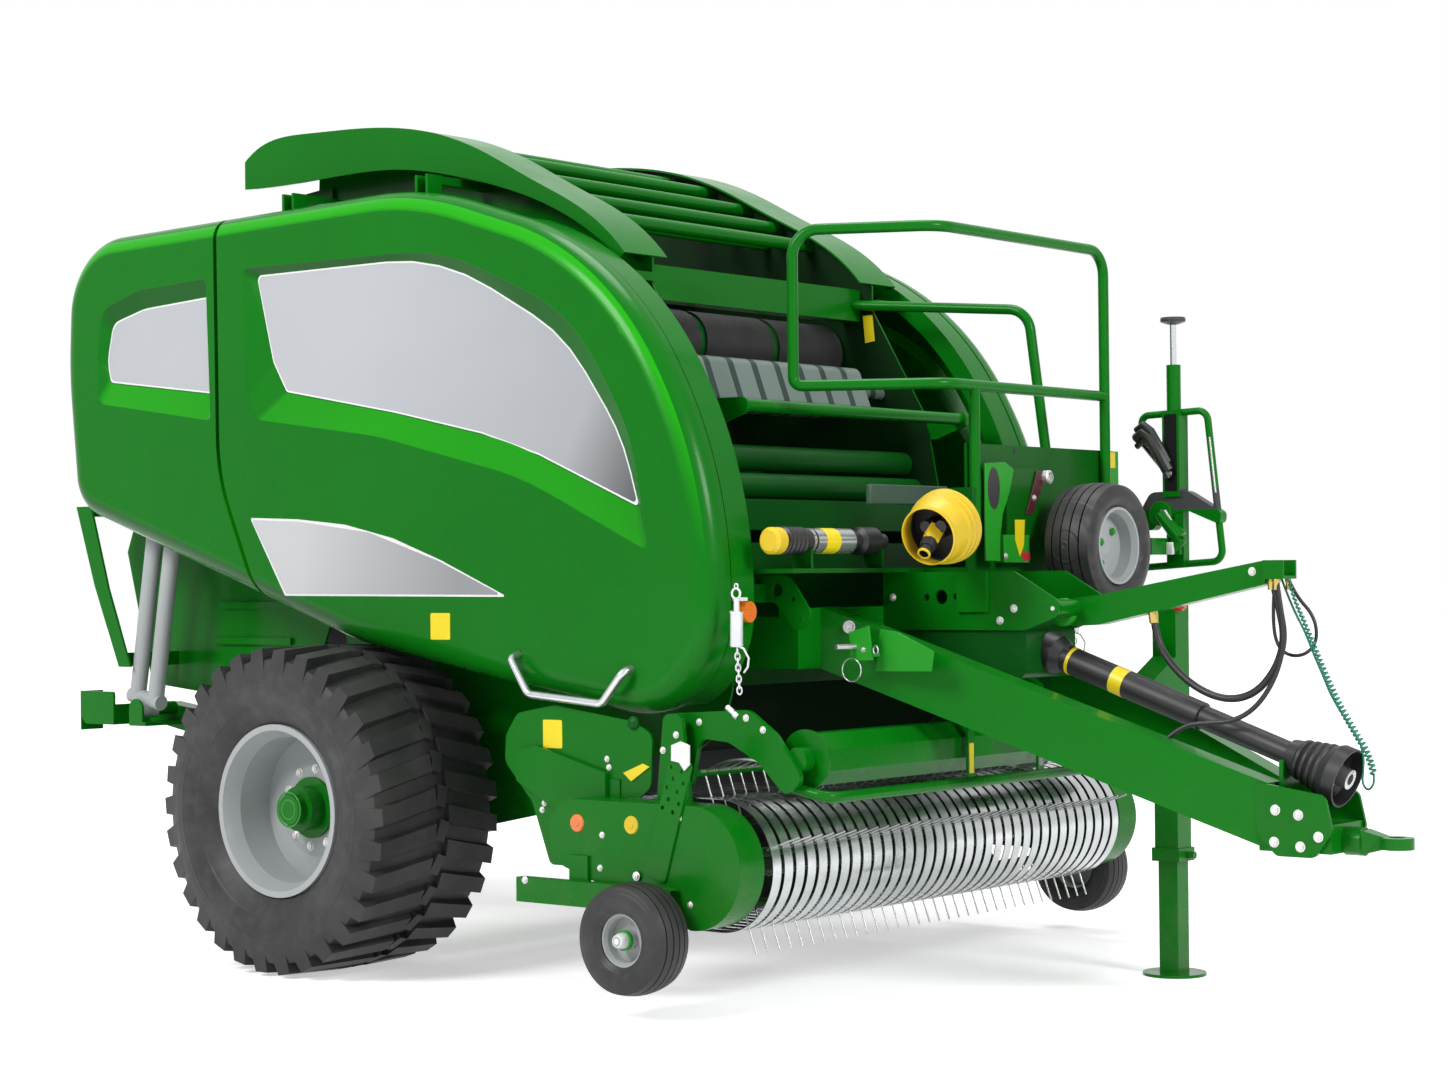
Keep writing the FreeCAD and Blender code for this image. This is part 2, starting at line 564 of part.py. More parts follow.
def split_region(shift, toward):
    """Everything in front of (toward 1) or behind (toward -1) the split line moved along X by shift."""
    foot, corner = V(SPLIT_FOOT[0] + shift, 0, SPLIT_FOOT[1]), V(SPLIT_CORNER[0] + shift, 0, SPLIT_CORNER[1])
    head = V(corner.x - 13, 0, 2900)
    into, out = (corner - foot).normalize(), (head - corner).normalize()
    start, end = corner - into * SPLIT_REACH, corner + out * SPLIT_REACH
    half_turn = into.getAngle(out) / 2
    sag = SPLIT_REACH / math.tan(half_turn) * (1 / math.cos(half_turn) - 1)
    bend = Part.Arc(start, corner + (out - into).normalize() * sag, end).toShape()
    far_top, far_low, low = V(FAR * toward, 0, 2900), V(FAR * toward, 0, 800), V(foot.x, 0, 800)
    runs = [Part.makeLine(foot, start), bend, Part.makeLine(end, head), Part.makeLine(head, far_top),
            Part.makeLine(far_top, far_low), Part.makeLine(far_low, low), Part.makeLine(low, foot)]
    return Part.Wire(runs)


def pressed_field(rim, floor, grow, y_rim):
    """The room of a pressed field: from its rim in the plane y_rim inward to its floor."""
    wires = [rounded(rim), rounded(floor)]
    if grow:
        wires = [wire.makeOffset2D(grow) for wire in wires]
    above = slab(wires[0], y_rim, y_rim + 20)
    wires[0].translate(V(0, y_rim, 0))
    wires[1].translate(V(0, y_rim - FIELD_DEPTH, 0))
    return Part.makeLoft(wires, True, True).fuse(above)


def half_panel(toward, rim, floor):
    """One part of the side shell: skin with its pressed field, rounded rim and a flange along the split."""
    whole = slab(panel_outline(), DOOR_IN_Y, PANEL_Y)
    whole = whole.makeFillet(PANEL_ROUND, face_edges(whole, PANEL_Y))
    inner = slab(panel_outline().makeOffset2D(-PANEL_T), DOOR_IN_Y - 1, PANEL_Y - PANEL_T)
    inner = inner.makeFillet(PANEL_ROUND - PANEL_T, face_edges(inner, PANEL_Y - PANEL_T))
    side = slab(split_region(toward * SPLIT_GAP / 2, toward), DOOR_IN_Y - 5, PANEL_Y + 5)
    room = slab(split_region(toward * (SPLIT_GAP / 2 + PANEL_T), toward), DOOR_IN_Y - 5, PANEL_Y + 5)
    inner = inner.common(room).cut(pressed_field(rim, floor, PANEL_T, PANEL_Y - PANEL_T))
    return whole.common(side).cut(pressed_field(rim, floor, 0, PANEL_Y)).cut(inner)


def knuckle(x0):
    """One bored hinge plate of a door, 12 mm wide from x0."""
    block = box(x0, x0 + 12, DOOR_HINGE_Y - 14, DOOR_IN_Y + 30, 2735, DOOR_HINGE_Z + 14)
    bore = rod((x0 - 1, DOOR_HINGE_Y, DOOR_HINGE_Z), (x0 + 13, DOOR_HINGE_Y, DOOR_HINGE_Z),
               DOOR_PIN_R + PIN_PLAY)
    return block.cut(bore)


def face_edges(body, y):
    """The edges that lie in the plane at y."""
    return [e for e in body.Edges if abs(e.BoundBox.YMin - y) < 0.5 and abs(e.BoundBox.YMax - y) < 0.5]


def build_panels():
    """Side doors with their hinge knuckles, the tailgate's side covers, and the door handles."""
    knuckles = [knuckle(x0) for x in DOOR_HINGE_XS for x0 in (x - 32 - GAP, x + 20 + GAP)]
    door = fuse([half_panel(1, DOOR_FIELD, DOOR_SILVER)] + knuckles)
    cover = half_panel(-1, COVER_FIELD, COVER_SILVER)
    y_seat, y_grip = PANEL_Y + GAP, PANEL_Y + 42
    handle = tube_along([(880, y_seat, 1120), (880, y_grip, 1110), (960, y_grip, 990), (1290, y_grip, 965),
                         (1385, y_grip, 1070), (1385, y_seat, 1080)], [25, 40, 40, 25], 14).cut(door)
    save_both("door", door)
    save_both("tailgate_cover", cover)
    save_both("door_handle", handle)


def build_bands():
    """Fixed bands in front of the doors: a skin along the door's edge, on stays from the walls."""
    outer = panel_outline().makeOffset2D(-2)
    skin = slab(outer, BAND_IN_Y, DOOR_IN_Y - 6).cut(slab(panel_outline().makeOffset2D(-2 - PANEL_T), 0, FAR))
    web = slab(outer, BAND_IN_Y, BAND_IN_Y + PANEL_T).cut(slab(panel_outline().makeOffset2D(-70), 0, FAR))
    front = plate([(830, 3000), (2000, 3000), (2000, 960), (1500, 960), (1400, 1500), (830, 2300)],
                  BAND_IN_Y - 1, DOOR_IN_Y)
    stays = [box(1100, 1160, WALL_Y, BAND_IN_Y, 2390, 2420), box(1400, 1640, WALL_Y, WALL_Y + 10, 1290, 1350),
             box(1600, 1640, WALL_Y, BAND_IN_Y, 1290, 1350),
             box(1600, 1690, BAND_IN_Y, BAND_IN_Y + PANEL_T, 1290, 1350),
             box(1100, 1160, BAND_IN_Y, BAND_IN_Y + PANEL_T, 2390, 2500)]
    tongue = slab(rounded([(1600, 1290, 5), (1600, 1378, 5), (1740, 1378, 40), (1838, 1245, 38),
                           (1775, 1180, 38), (1680, 1290, 30)]), WALL_Y + 9, WALL_Y + 18)
    holes = [disc_y(x, 0, FAR, z, r) for x, z, r in ((1690, 1330, 22), (1755, 1300, 9), (1790, 1235, 9))]
    tongue = tongue.cut(fuse(holes))
    band = fuse([skin.common(front), web.common(front), tongue] + [s.common(slab(outer, 0, FAR))
                                                                   for s in stays])
    save("front_bands", both(band))


def build_lamps():
    """Round lamps: one on each front band and two on each side of the tail bracket's tabs."""
    front = rod((1714 + GAP, 870, 1262), (1745, 870, 1262), 34)
    rear = [rod((LAMP_X - 22, 852, z), (LAMP_X - GAP, 852, z), radius)
            for z, radius in ((893, 34), (824, 27))]
    save("lamps", [lamp for one in [front] + rear for lamp in both(one)])


def fin_outline():
    top = spline(fin_top_points())
    low = spline([(1120, 2462), (753, 2690), (414, 2800), (57, 2870), (-317, 2878), (-790, 2880)])
    return Part.Wire([top, line((1145, 2480), (1120, 2462)), low, line((-790, 2880), (-790, 2985))])


def build_fins():
    body = slab(fin_outline(), FIN_IN_Y, FIN_OUT_Y)
    inner = slab(fin_outline(), FIN_IN_Y - 1, FIN_OUT_Y - FIN_T)
    inner.translate(V(0, 0, -FIN_T))
    save("fins", both(body.cut(inner)))


# ---------------------------------------------------------------- chamber: belts and rollers
def arc_point(angle, radius):
    a = math.radians(angle)
    return CHAMBER_X + radius * math.cos(a), CHAMBER_Z + radius * math.sin(a)


def belt_arc(first, last, radius):
    """Closed XZ outline of a belt that runs round the chamber between two angles."""
    mid = (first + last) / 2
    outer = [arc_point(a, radius + BELT_T) for a in (first, mid, last)]
    inner = [arc_point(a, radius) for a in (last, mid, first)]
    out = Part.Arc(*[V(x, 0, z) for x, z in outer]).toShape()
    back = Part.Arc(*[V(x, 0, z) for x, z in inner]).toShape()
    return Part.Wire([out, line(outer[2], inner[0]), back, line(inner[2], outer[0])])


def belt_set(outline):
    pitch = (2 * (WALL_Y - WALL_T)) / BELT_COUNT
    shapes = []
    for i in range(BELT_COUNT):
        middle = (i - (BELT_COUNT - 1) / 2) * pitch
        shapes.append(slab(outline, middle - BELT_W / 2, middle + BELT_W / 2))
    return shapes


def roller(x, z, radius, half):
    return disc_y(x, -half, half, z, radius)


def roller_at(angle):
    """A roller against the outside of the belts, at an angle round the chamber."""
    x, z = arc_point(angle, CHAMBER_R + BELT_T + GAP + ROLLER_R)
    return roller(x, z, ROLLER_R, WALL_Y - WALL_T - GAP)


def build_chamber():
    half = WALL_Y - WALL_T - GAP
    save("tailgate_belts", belt_set(belt_arc(116, 232, CHAMBER_R)))
    save("front_belts", belt_set(belt_arc(-52, 52, CHAMBER_R)))
    save("tailgate_rollers", [roller_at(a) for a in (118, 178, 230)])
    bars = [roller(x, z, r, half) for x, z, r in ((-120, 900, ROLLER_R), (1280, 1790, 45), (1325, 1690, 45),
                                                  (1345, 1585, 45))]
    save("front_rollers", [roller_at(a) for a in (-50, 0, 50)] + bars)


def build_top():
    """Lateral tubes over the chamber, and the flat beam in front of them."""
    half = WALL_Y - WALL_T
    spots = [(180, 2950, 24), (370, 2895, 24), (550, 2810, 24), (710, 2725, 24), (850, 2645, 24),
             (300, 2830, 18), (480, 2745, 18), (640, 2665, 18)]
    tubes = [rod((x, -half, z), (x, half, z), r) for x, z, r in spots]
    beam = box(1010, 1090, -half, half, 2340, 2460).cut(box(1018, 1082, -half - 1, half + 1, 2348, 2452))
    save("top_frame", tubes + [beam])


# ---------------------------------------------------------------- front of the chamber
def build_front(frame):
    """Net box with its shelf tube, the cross panels, the platform, and the shaft that runs over it."""
    half = WALL_Y - WALL_T - GAP
    lid = slab(rounded([(1050, 1965, 8), (1050, 2150, 30), (1250, 2142, 40), (1312, 1975, 20)]), -half, 400)
    lid = lid.fuse(disc_y(1180, 399, half, 2060, 22))
    arm = slab(rounded([(1340, 1975, 8), (1340, 1880, 8), (1430, 1880, 30), (1565, 1925, 22),
                        (1565, 1975, 22)]), WALL_Y, WALL_Y + 10)
    shelf = fuse(both(arm) + [disc_y(1530, -WALL_Y - 5, WALL_Y + 5, 1950, 22)])
    save("net_box", [lid, shelf])
    save("front_panel", [box(WALL_FRONT_X - 12, WALL_FRONT_X, -half, half, 1010, 1490),
                         box(1402, 1452, -half, half, 1535, 1640)])
    floor = fuse([box(WALL_FRONT_X, 1860, -790, 790, FLOOR_Z, FLOOR_Z + 15),
                  box(1860, PLATE_X, -60, 790, FLOOR_Z, FLOOR_Z + 15)])
    front = box(PLATE_X, PLATE_X + 10, -60, 830, 1190, 1820)
    window = rounded([(2020, 1570, 25), (2120, 1570, 25), (2120, 1740, 25), (2020, 1740, 25)])
    front = front.cut(slab(window, -20, 30))
    front = front.cut(box(PLATE_X - 1, PLATE_X + 11, -61, HEAD_Y + HEAD_T + GAP, 0, FLOOR_Z))
    link = box(1860, PLATE_X, 780, 790, 1190, FLOOR_Z)
    carrier = box(PLATE_X + 9, PLATE_X + 50, 120, 320, 1500, 1740)
    spigot = rod((PLATE_X + 9, STOWED_Y, STOWED_Z), (STOWED_X + 20 - GAP, STOWED_Y, STOWED_Z), 25)
    strip = fuse([box(1960, 1972, -520, -60, 1610, 1670),
                  box(1960, CONE_BASE[0] + STEM_R, -72, -59.5, 1550, 1670)])
    stem = aimed(Part.makeCylinder(STEM_R, STEM_L), CONE_BASE, tuple(c * -1 for c in cone_axis()))
    saddles = [box(SHAFT_X - 35, SHAFT_X + 41, y, y + 12, FLOOR_Z + 15, SHAFT_Z - SHAFT_R + 15)
               for y in (-690, -300)]
    shaft = cross_shaft()
    saddles = [saddle.cut(shaft) for saddle in saddles]
    save("platform", fuse([floor, front, link, carrier, spigot, strip, stem] + saddles).cut(frame))
    save("cross_shaft", shaft)
    save("guard_cone", guard_cone())


def cone_axis():
    """The yellow guard opens to the right and a little downward."""
    return (0, -math.cos(math.radians(CONE_TILT)), -math.sin(math.radians(CONE_TILT)))


def guard_cone():
    """Stepped open guard with the end of the shaft in it."""
    outer = [(62, 0), (62, 32), (86, 40), (88, 74), (101, 82), (104, 112), (113, 120), (116, 148),
             (122, 156), (122, 175)]
    inner = [(r - CONE_WALL, z) for r, z in outer[1:]]
    room = turned([(0, 12), (outer[0][0] - CONE_WALL, 12)] + inner + [(outer[-1][0] - CONE_WALL, 180),
                                                                      (0, 180)])
    solid = turned([(0, 0)] + outer + [(0, 175)]).cut(room).fuse(Part.makeCylinder(22, 120))
    return aimed(solid, CONE_BASE, cone_axis())


def cross_shaft():
    """Shaft across the platform: end cap, ribbed bellows, plain tube and joint."""
    profile = [(0, 0), (34, 0), (44, 10), (44, 50), (30, 58)]
    for i in range(5):
        z = 66 + 22 * i
        profile += [(46, z), (46, z + 8), (38, z + 14)]
    profile += [(42, 190), (42, 430), (30, 440), (30, 470), (48, 480), (48, 560), (26, 570), (26, 620),
                (0, 620)]
    return aimed(turned(profile), (SHAFT_X, -860, SHAFT_Z), (0, 1, 0))


def build_headstock():
    """Two plates over the drawbar that carry the platform, the gearbox and the hose arm's hinge."""
    outline = rounded([(BEAM_REAR[0], 1190, 5), (2330, 1190, 60), (2515, 1257, 35), (2290, FLOOR_Z, 30),
                       (BEAM_REAR[0], FLOOR_Z, 5)])
    holes = [disc_y(x, 0, FAR, 1300, r) for x, r in ((1940, 12), (2000, 25), (2060, 12))]
    side = slab(outline, HEAD_Y, HEAD_Y + HEAD_T).cut(fuse(holes))
    tab = mirrored(box(2070, 2190, HEAD_Y + HEAD_T, HEAD_Y + HEAD_T + 12, 1250, FLOOR_Z))
    plates = [side, mirrored(side).fuse(tab)]
    top = box(1900, 1960, -HEAD_Y - 1, HEAD_Y + 1, FLOOR_Z - 40, FLOOR_Z)
    save("headstock", fuse(plates + [top]))


def gearbox():
    """Drive housing between the headstock plates."""
    x0, x1 = BEAM_REAR[0] + GAP, PTO_REAR[0]
    return slab(rounded([(x0, 1030, 30), (x1, 1030, 40), (x1, 1230, 60), (x0, 1230, 20)]), -HEAD_Y + GAP,
                HEAD_Y - GAP)


def build_rails():
    """Bent safety rails round the platform, and the side rail from the top beam."""
    r = RAIL_R
    x_front, x_back = PLATE_X + 10 + GAP + r, 1620
    foot = 1640
    outer = tube_along([(x_back, -470, RAIL_LOW_Z + 60), (x_back, -470, RAIL_TOP_Z),
                        (x_front, -240, RAIL_TOP_Z), (x_front, 800, RAIL_TOP_Z), (x_front, 800, foot)],
                       [90, 120, 90], r)
    low = tube_along([(x_back, -470, RAIL_LOW_Z + 60), (x_back, -470, RAIL_LOW_Z),
                      (x_front, -200, RAIL_LOW_Z), (x_front, 800, RAIL_LOW_Z)], [30, 120], r)
    post = rod((x_front, -40, RAIL_LOW_Z), (x_front, -40, foot - 120), r)
    inner = tube_along([(1085, 590, 2400), (1800, 700, 2340), (1900, 745, 1395)], [90], r)
    inner = inner.cut(box(900, 1090 + GAP, 500, 800, 2300, 2500)).cut(box(1700, 2200, 600, 900, 1300,
                                                                          FLOOR_Z + 15 + GAP))
    save("rails", [fuse([outer, low, post]), inner])


def build_stowed():
    """The stowed wheel, and the adjuster column in its tube frame."""
    tyre = revolved(ribbed_section(STOWED_R, STOWED_W, STOWED_RIM_R, 10, 5))
    disc = revolved(rim_section(STOWED_RIM_R - GAP, 170, 20, 8, 0))
    for name, shape in (("stowed_tyre", tyre), ("stowed_rim", disc)):
        shape = shape.copy()
        shape.rotate(V(0, 0, 0), Z_AXIS, -90)
        shape.translate(V(STOWED_X, STOWED_Y, STOWED_Z))
        save(name, shape)
    x, y = COLUMN_X, COLUMN_Y
    knob = turned([(0, 2278), (20, 2278), (44, 2286), (47, 2294), (44, 2303), (0, 2306)])
    knob.translate(V(x, y, 0))
    cage = tube_along([(2095, y, 1860), (2095, y, 1950), (2365, y, 1960), (2425, y, 1415), (2110, y, 1395)],
                      [30, 40, 40], 13)
    grip = slab(rounded([(2085, 1580, 20), (2140, 1668, 40), (2290, 1672, 60), (2430, 1590, 20),
                         (2425, 1545, 15), (2290, 1600, 40), (2190, 1575, 40), (2140, 1520, 20)]), y - 22,
                y + 22)
    parts = [rod((x, y, 1960), (x, y, 2130), 26), rod((x, y, 2130), (x, y, 2280), 12), knob, cage, grip,
             box(x - 32, x + 38, y - 32, y + 32, 1650, 1962), box(x - 25, x + 45, y - 20, y + 20, 1400, 1600),
             rod((2100, y, 1885), (x, y, 1740), 34), box(2130, 2215, y - 12, y + 12, 1600, 1640),
             box(PLATE_X, x, 830, y - 15, 1440, 1500), box(x - 40, x + 40, y - 40, y + 15, 1440, 1500)]
    save("adjuster_column", fuse(parts))


# ---------------------------------------------------------------- drawbar, hitch, jack, shaft
def build_drawbar():
    """Two box beams that close from the chassis to the hitch plates."""
    def section(x, y, z):
        outer = [V(x, y - BEAM_W / 2, z - BEAM_H / 2), V(x, y + BEAM_W / 2, z - BEAM_H / 2),
                 V(x, y + BEAM_W / 2, z + BEAM_H / 2), V(x, y - BEAM_W / 2, z + BEAM_H / 2)]
        return Part.makePolygon(outer + outer[:1])
    beam = Part.makeLoft([section(*BEAM_REAR), section(*BEAM_FRONT)], True, True)
    cross = box(1680, BEAM_REAR[0], -WALL_Y, WALL_Y, BEAM_REAR[2] - 100, BEAM_REAR[2] + 100)
    cheek = slab(rounded([(3135, 725, 25), (3150, 560, 30), (3215, 497, 25), (3345, 497, 35),
                          (3405, 580, 25), (3380, 690, 30)]),
                 CHEEK_IN_Y, CHEEK_OUT_Y)
    block = box(3150, EYE_X - 165, -CHEEK_IN_Y, CHEEK_IN_Y, 510, 600)
    cradle = box(3196, 3210, -60, 60, 599, 790).cut(drive_shaft())
    sills = [box(WALL_FRONT_X, 1680, y, y + 110, 1070, 1240) for y in (-WALL_Y, WALL_Y - 110)]
    frame = fuse(both(beam) + both(cheek) + [cross, block, cradle] + sills)
    save("drawbar", frame)
    sleeve = rod((EYE_X - 165, 0, EYE_Z), (EYE_X - 105, 0, EYE_Z), 44)
    ends = [(EYE_X - 106, 34, 38), (EYE_X - 30, 26, EYE_T / 2)]
    wires = []
    for x, y, z in ends:
        corners = [V(x, -y, EYE_Z - z), V(x, y, EYE_Z - z), V(x, y, EYE_Z + z), V(x, -y, EYE_Z + z)]
        wires.append(Part.makePolygon(corners + corners[:1]))
    arm = Part.makeLoft(wires, True, True)
    eye = Part.makeCylinder(EYE_R, EYE_T, V(EYE_X, 0, EYE_Z - EYE_T / 2), Z_AXIS)
    bore = Part.makeCylinder(EYE_BORE_R, EYE_T + 2, V(EYE_X, 0, EYE_Z - EYE_T / 2 - 1), Z_AXIS)
    save("hitch_eye", fuse([sleeve, arm, eye]).cut(bore))
    return frame


def shaft_line():
    """Direction and length of the drive shaft."""
    line_of = V(*PTO_FRONT) - V(*PTO_REAR)
    length = line_of.Length
    return line_of.normalize(), length


def drive_shaft():
    """Guarded shaft from the gearbox: outer tube, inner tube, and a ribbed bell open at the front."""
    axis, length = shaft_line()
    r, front = PTO_R, length
    profile = [(0, -20), (66, -20), (66, 30), (PTO_OUTER_R + 4, 60), (PTO_OUTER_R, 62), (PTO_OUTER_R, 600),
               (r, 602), (r, front - 210), (50, front - 205), (58, front - 170), (62, front - 168)]
    for i in range(4):
        z = front - 160 + 26 * i
        profile += [(66 + 6 * i, z), (66 + 6 * i, z + 8), (60 + 7 * i, z + 12)]
    profile += [(PTO_BELL_R, front - 42), (PTO_BELL_R, front), (PTO_BELL_R - 6, front),
                (PTO_BELL_R - 8, front - 42), (54, front - 125), (0, front - 125)]
    return aimed(turned(profile), PTO_REAR, tuple(axis))


def build_shaft():
    """Drive shaft with the fork that takes the tractor's splined stub."""
    axis, length = shaft_line()
    housing = gearbox()
    save("gearbox", housing)
    save("pto_shaft", drive_shaft().cut(housing))
    z0 = length - 125
    hub = Part.makeCylinder(32, YOKE_LENGTH, V(0, 0, length + 8 - YOKE_LENGTH), Z_AXIS)
    ears = [box(-30, 30, y, y + 14, z0 + 20, length + 10 - YOKE_LENGTH) for y in (-36, 22)]
    cross = [Part.makeCylinder(14, 76, V(0, -38, z0 + 40), Y_AXIS),
             Part.makeCylinder(26, 24, V(0, 0, z0), Z_AXIS)]
    web = Part.makeCylinder(38, 12, V(0, 0, length + 8 - YOKE_LENGTH), Z_AXIS)
    bore = Part.makeCylinder(YOKE_BORE_R, YOKE_LENGTH + 2, V(0, 0, length + 7 - YOKE_LENGTH), Z_AXIS)
    core = Part.makeCylinder(12, 40, V(0, 0, z0 + 5), Z_AXIS)
    save("pto_yoke", aimed(fuse([hub, web, core] + ears + cross).cut(bore), PTO_REAR, tuple(axis)))


def square(size, z0, z1):
    return box(JACK_X - size / 2, JACK_X + size / 2, JACK_Y - size / 2, JACK_Y + size / 2, z0, z1)


def build_jack(frame):
    """Square tube on the left beam, with the leg that slides in it."""
    inside = JACK_TUBE - 2 * JACK_WALL
    tube = square(JACK_TUBE, JACK_LOW_Z, JACK_TOP_Z).cut(square(inside, JACK_LOW_Z - 1, JACK_TOP_Z - 12))
    collar = square(JACK_TUBE + 16, JACK_LOW_Z, JACK_LOW_Z + 45).cut(square(inside, JACK_LOW_Z - 1,
                                                                            JACK_LOW_Z + 46))
    knob = rod((JACK_X + JACK_TUBE / 2 + 2, JACK_Y, JACK_LOW_Z + 22),
               (JACK_X + JACK_TUBE / 2 + 40, JACK_Y, JACK_LOW_Z + 22), 12)
    y_side = JACK_Y - JACK_TUBE / 2
    sides = [cross_plate([(240, 800), (y_side + 2, 900), (y_side + 2, 1090), (240, 985)], x, x + 12)
             for x in (JACK_X - JACK_TUBE / 2, JACK_X + JACK_TUBE / 2 - 12)]
    lug_top = cross_plate([(240, 973), (y_side + 2, 1078), (y_side + 2, 1090), (240, 985)], JACK_X - 40,
                          JACK_X + 40)
    save("jack_tube", fuse([tube, collar, knob, lug_top] + sides).cut(frame))
    leg = square(inside - 2 * GAP, FOOT_T, JACK_LOW_Z + 260)
    foot = Part.makeCylinder(FOOT_R, FOOT_T, V(JACK_X, JACK_Y, 0), Z_AXIS)
    both_parts = fuse([leg, foot])
    both_parts.translate(V(0, 0, GROUND_Z))
    save("jack_leg", both_parts)


def build_arm():
    """Hinged arm that carries the hoses over the drawbar."""
    arm = slab(rounded([(2385, 1200, 20), (2530, 1206, 60), (3140, 1335, 10), (3140, 1411, 10),
                        (2530, 1304, 60), (2385, 1290, 30)]),
               -30, 30)
    barrel = disc_y(2440, -HEAD_Y, HEAD_Y, 1262, 28)
    tip = box(3139, 3210, -45, 45, 1352, 1362)
    hooks = [box(3139, 3210, y, y + 8, 1361, 1411) for y in (-45, 37)]
    save("hose_arm", fuse([arm, barrel, tip] + hooks))


def build_cords():
    """Hoses that hang from the arm, and the line that holds the drive shaft's guard."""
    for name, radius, route in CORDS:
        save(name, cord_tube(name, route, radius))


# ---------------------------------------------------------------- pickup
def shield_outline():
    """Pickup end shield: round nose in front, straight back to the chain cover."""
    nose = Part.Arc(V(REEL_X, 0, REEL_Z - 190), V(REEL_X + 200, 0, REEL_Z),
                    V(REEL_X, 0, REEL_Z + 200)).toShape()
    rear = Part.Arc(V(1240, 0, 660), V(1140, 0, 540), V(1240, 0, 430)).toShape()
    return Part.Wire([nose, line((REEL_X, REEL_Z + 200), (1240, 660)), rear,
                      line((1240, 430), (REEL_X, REEL_Z - 190))])


def build_pickup():
    """End shields with their rims, rear arms, gauge-wheel beams and the uprights of the wind guard."""
    shield = slab(shield_outline(), SHIELD_Y - SHIELD_T, SHIELD_Y)
    rim = slab(shield_outline(), SHIELD_IN_Y, SHIELD_Y).cut(
        slab(shield_outline().makeOffset2D(-SHIELD_T), SHIELD_IN_Y - 1, SHIELD_Y + 1))
    arm = plate([(900, 700), (905, 800), (990, 820), (1300, 740), (1300, 600), (1180, 560)],
                PICKUP_ARM_Y, PICKUP_ARM_Y + 20)
    link = box(LINK_X - 30, LINK_X + 30, -PICKUP_ARM_Y - 5, PICKUP_ARM_Y + 5, LINK_Z - 30, LINK_Z + 30)
    beam = box(1040, 1700, SHIELD_Y + 10, SHIELD_Y + 50, 320, 400)
    beam = beam.cut(box(1060, 1720, SHIELD_Y + 5, SHIELD_Y + 46, 324, 396))
    step = box(1240, 1320, SHIELD_Y - SHIELD_T, SHIELD_Y + 11, 380, 480)
    stub = disc_y(GAUGE_X, SHIELD_Y + 20, GAUGE_Y + 10 - GAP, GAUGE_Z, 14)
    drop = slab(rounded([(1575, 401, 5), (1665, 401, 5), (1648, 222, 25), (1592, 222, 25)]), SHIELD_Y + 10,
                SHIELD_Y + 30)
    y_up = BAND_SPAN / 2
    upright = slab(rounded([(1500, 652, 5), (1640, 652, 5), (1608, 938, 30), (1532, 938, 30)]), y_up,
                   y_up + 16)
    foot = box(1500, 1640, y_up, SHIELD_IN_Y + 10, 652, 666)
    pin = disc_y(GUARD_X, GUARD_ARM_Y, y_up + 10, GUARD_Z, GUARD_PIN_R)
    half = fuse([shield, rim, arm, beam, step, stub, drop, upright, foot, pin])
    save("pickup_frame", fuse(both(half) + [link]))


def strut():
    """Perforated strip that stands on the outside of the shield."""
    foot, head = V(1600, 0, 425), V(1718, 0, 805)
    along = (head - foot).normalize()
    side = V(along.z, 0, -along.x)
    corners = [foot - side * 45, head - side * 45, head + side * 45, foot + side * 45]
    strip = slab(rounded([(c.x, c.z, 14) for c in corners]), SHIELD_Y, SHIELD_Y + 8)
    holes = []
    for i in range(5):
        for k in (-0.5, 0.5):
            c = head - along * (35 + 34 * i) + side * (k * 44 + (8 if i % 2 else -8))
            holes.append(disc_y(c.x, SHIELD_Y - 5, SHIELD_Y + 15, c.z, 7))
    return strip.cut(fuse(holes))


def build_covers():
    """Side plates over the pickup's drive, bored for the pivots, and the perforated struts."""
    outline = rounded([(836, 850, 50), (830, 760, 50), (955, 630, 40), (1035, 425, 25), (1120, 425, 25),
                       (1300, 560, 40), (1480, 700, 40), (1488, 870, 40), (1400, 910, 60), (1060, 955, 60),
                       (890, 925, 40)])
    bore = disc_y(PICKUP_PIVOT_X, 0, FAR, PICKUP_PIVOT_Z, PICKUP_PIVOT_R + PIN_PLAY)
    side = slab(outline, PICKUP_ARM_Y - 10, PICKUP_ARM_Y).cut(bore)
    side = side.cut(box(LINK_X - 31, LINK_X + 31, 0, FAR, LINK_Z - 31, LINK_Z + 31))
    side = side.cut(slab(shield_outline().makeOffset2D(1), 0, FAR))
    side = max(side.Solids, key=lambda solid: solid.Volume)
    save("pickup_covers", both(side) + both(strut()))


def band_outline():
    """One stripper band: round in front, with straight legs back to the cross bars."""
    low, top = V(REEL_X, 0, REEL_Z - BAND_R), V(REEL_X, 0, REEL_Z + BAND_R)
    t = V(0, 0, BAND_T)
    rear_top, rear_low = V(LINK_X + 30, 0, top.z), V(LINK_X + 150, 0, low.z)
    nose = Part.Arc(low, V(REEL_X + BAND_R, 0, REEL_Z), top).toShape()
    back = Part.Arc(top - t, V(REEL_X + BAND_R - BAND_T, 0, REEL_Z), low + t).toShape()
    runs = [Part.makeLine(top, rear_top), Part.makeLine(rear_top, rear_top - t),
            Part.makeLine(rear_top - t, top - t)]
    under = [Part.makeLine(low + t, rear_low + t), Part.makeLine(rear_low + t, rear_low),
             Part.makeLine(rear_low, low)]
    return Part.Wire([nose] + runs + [back] + under)


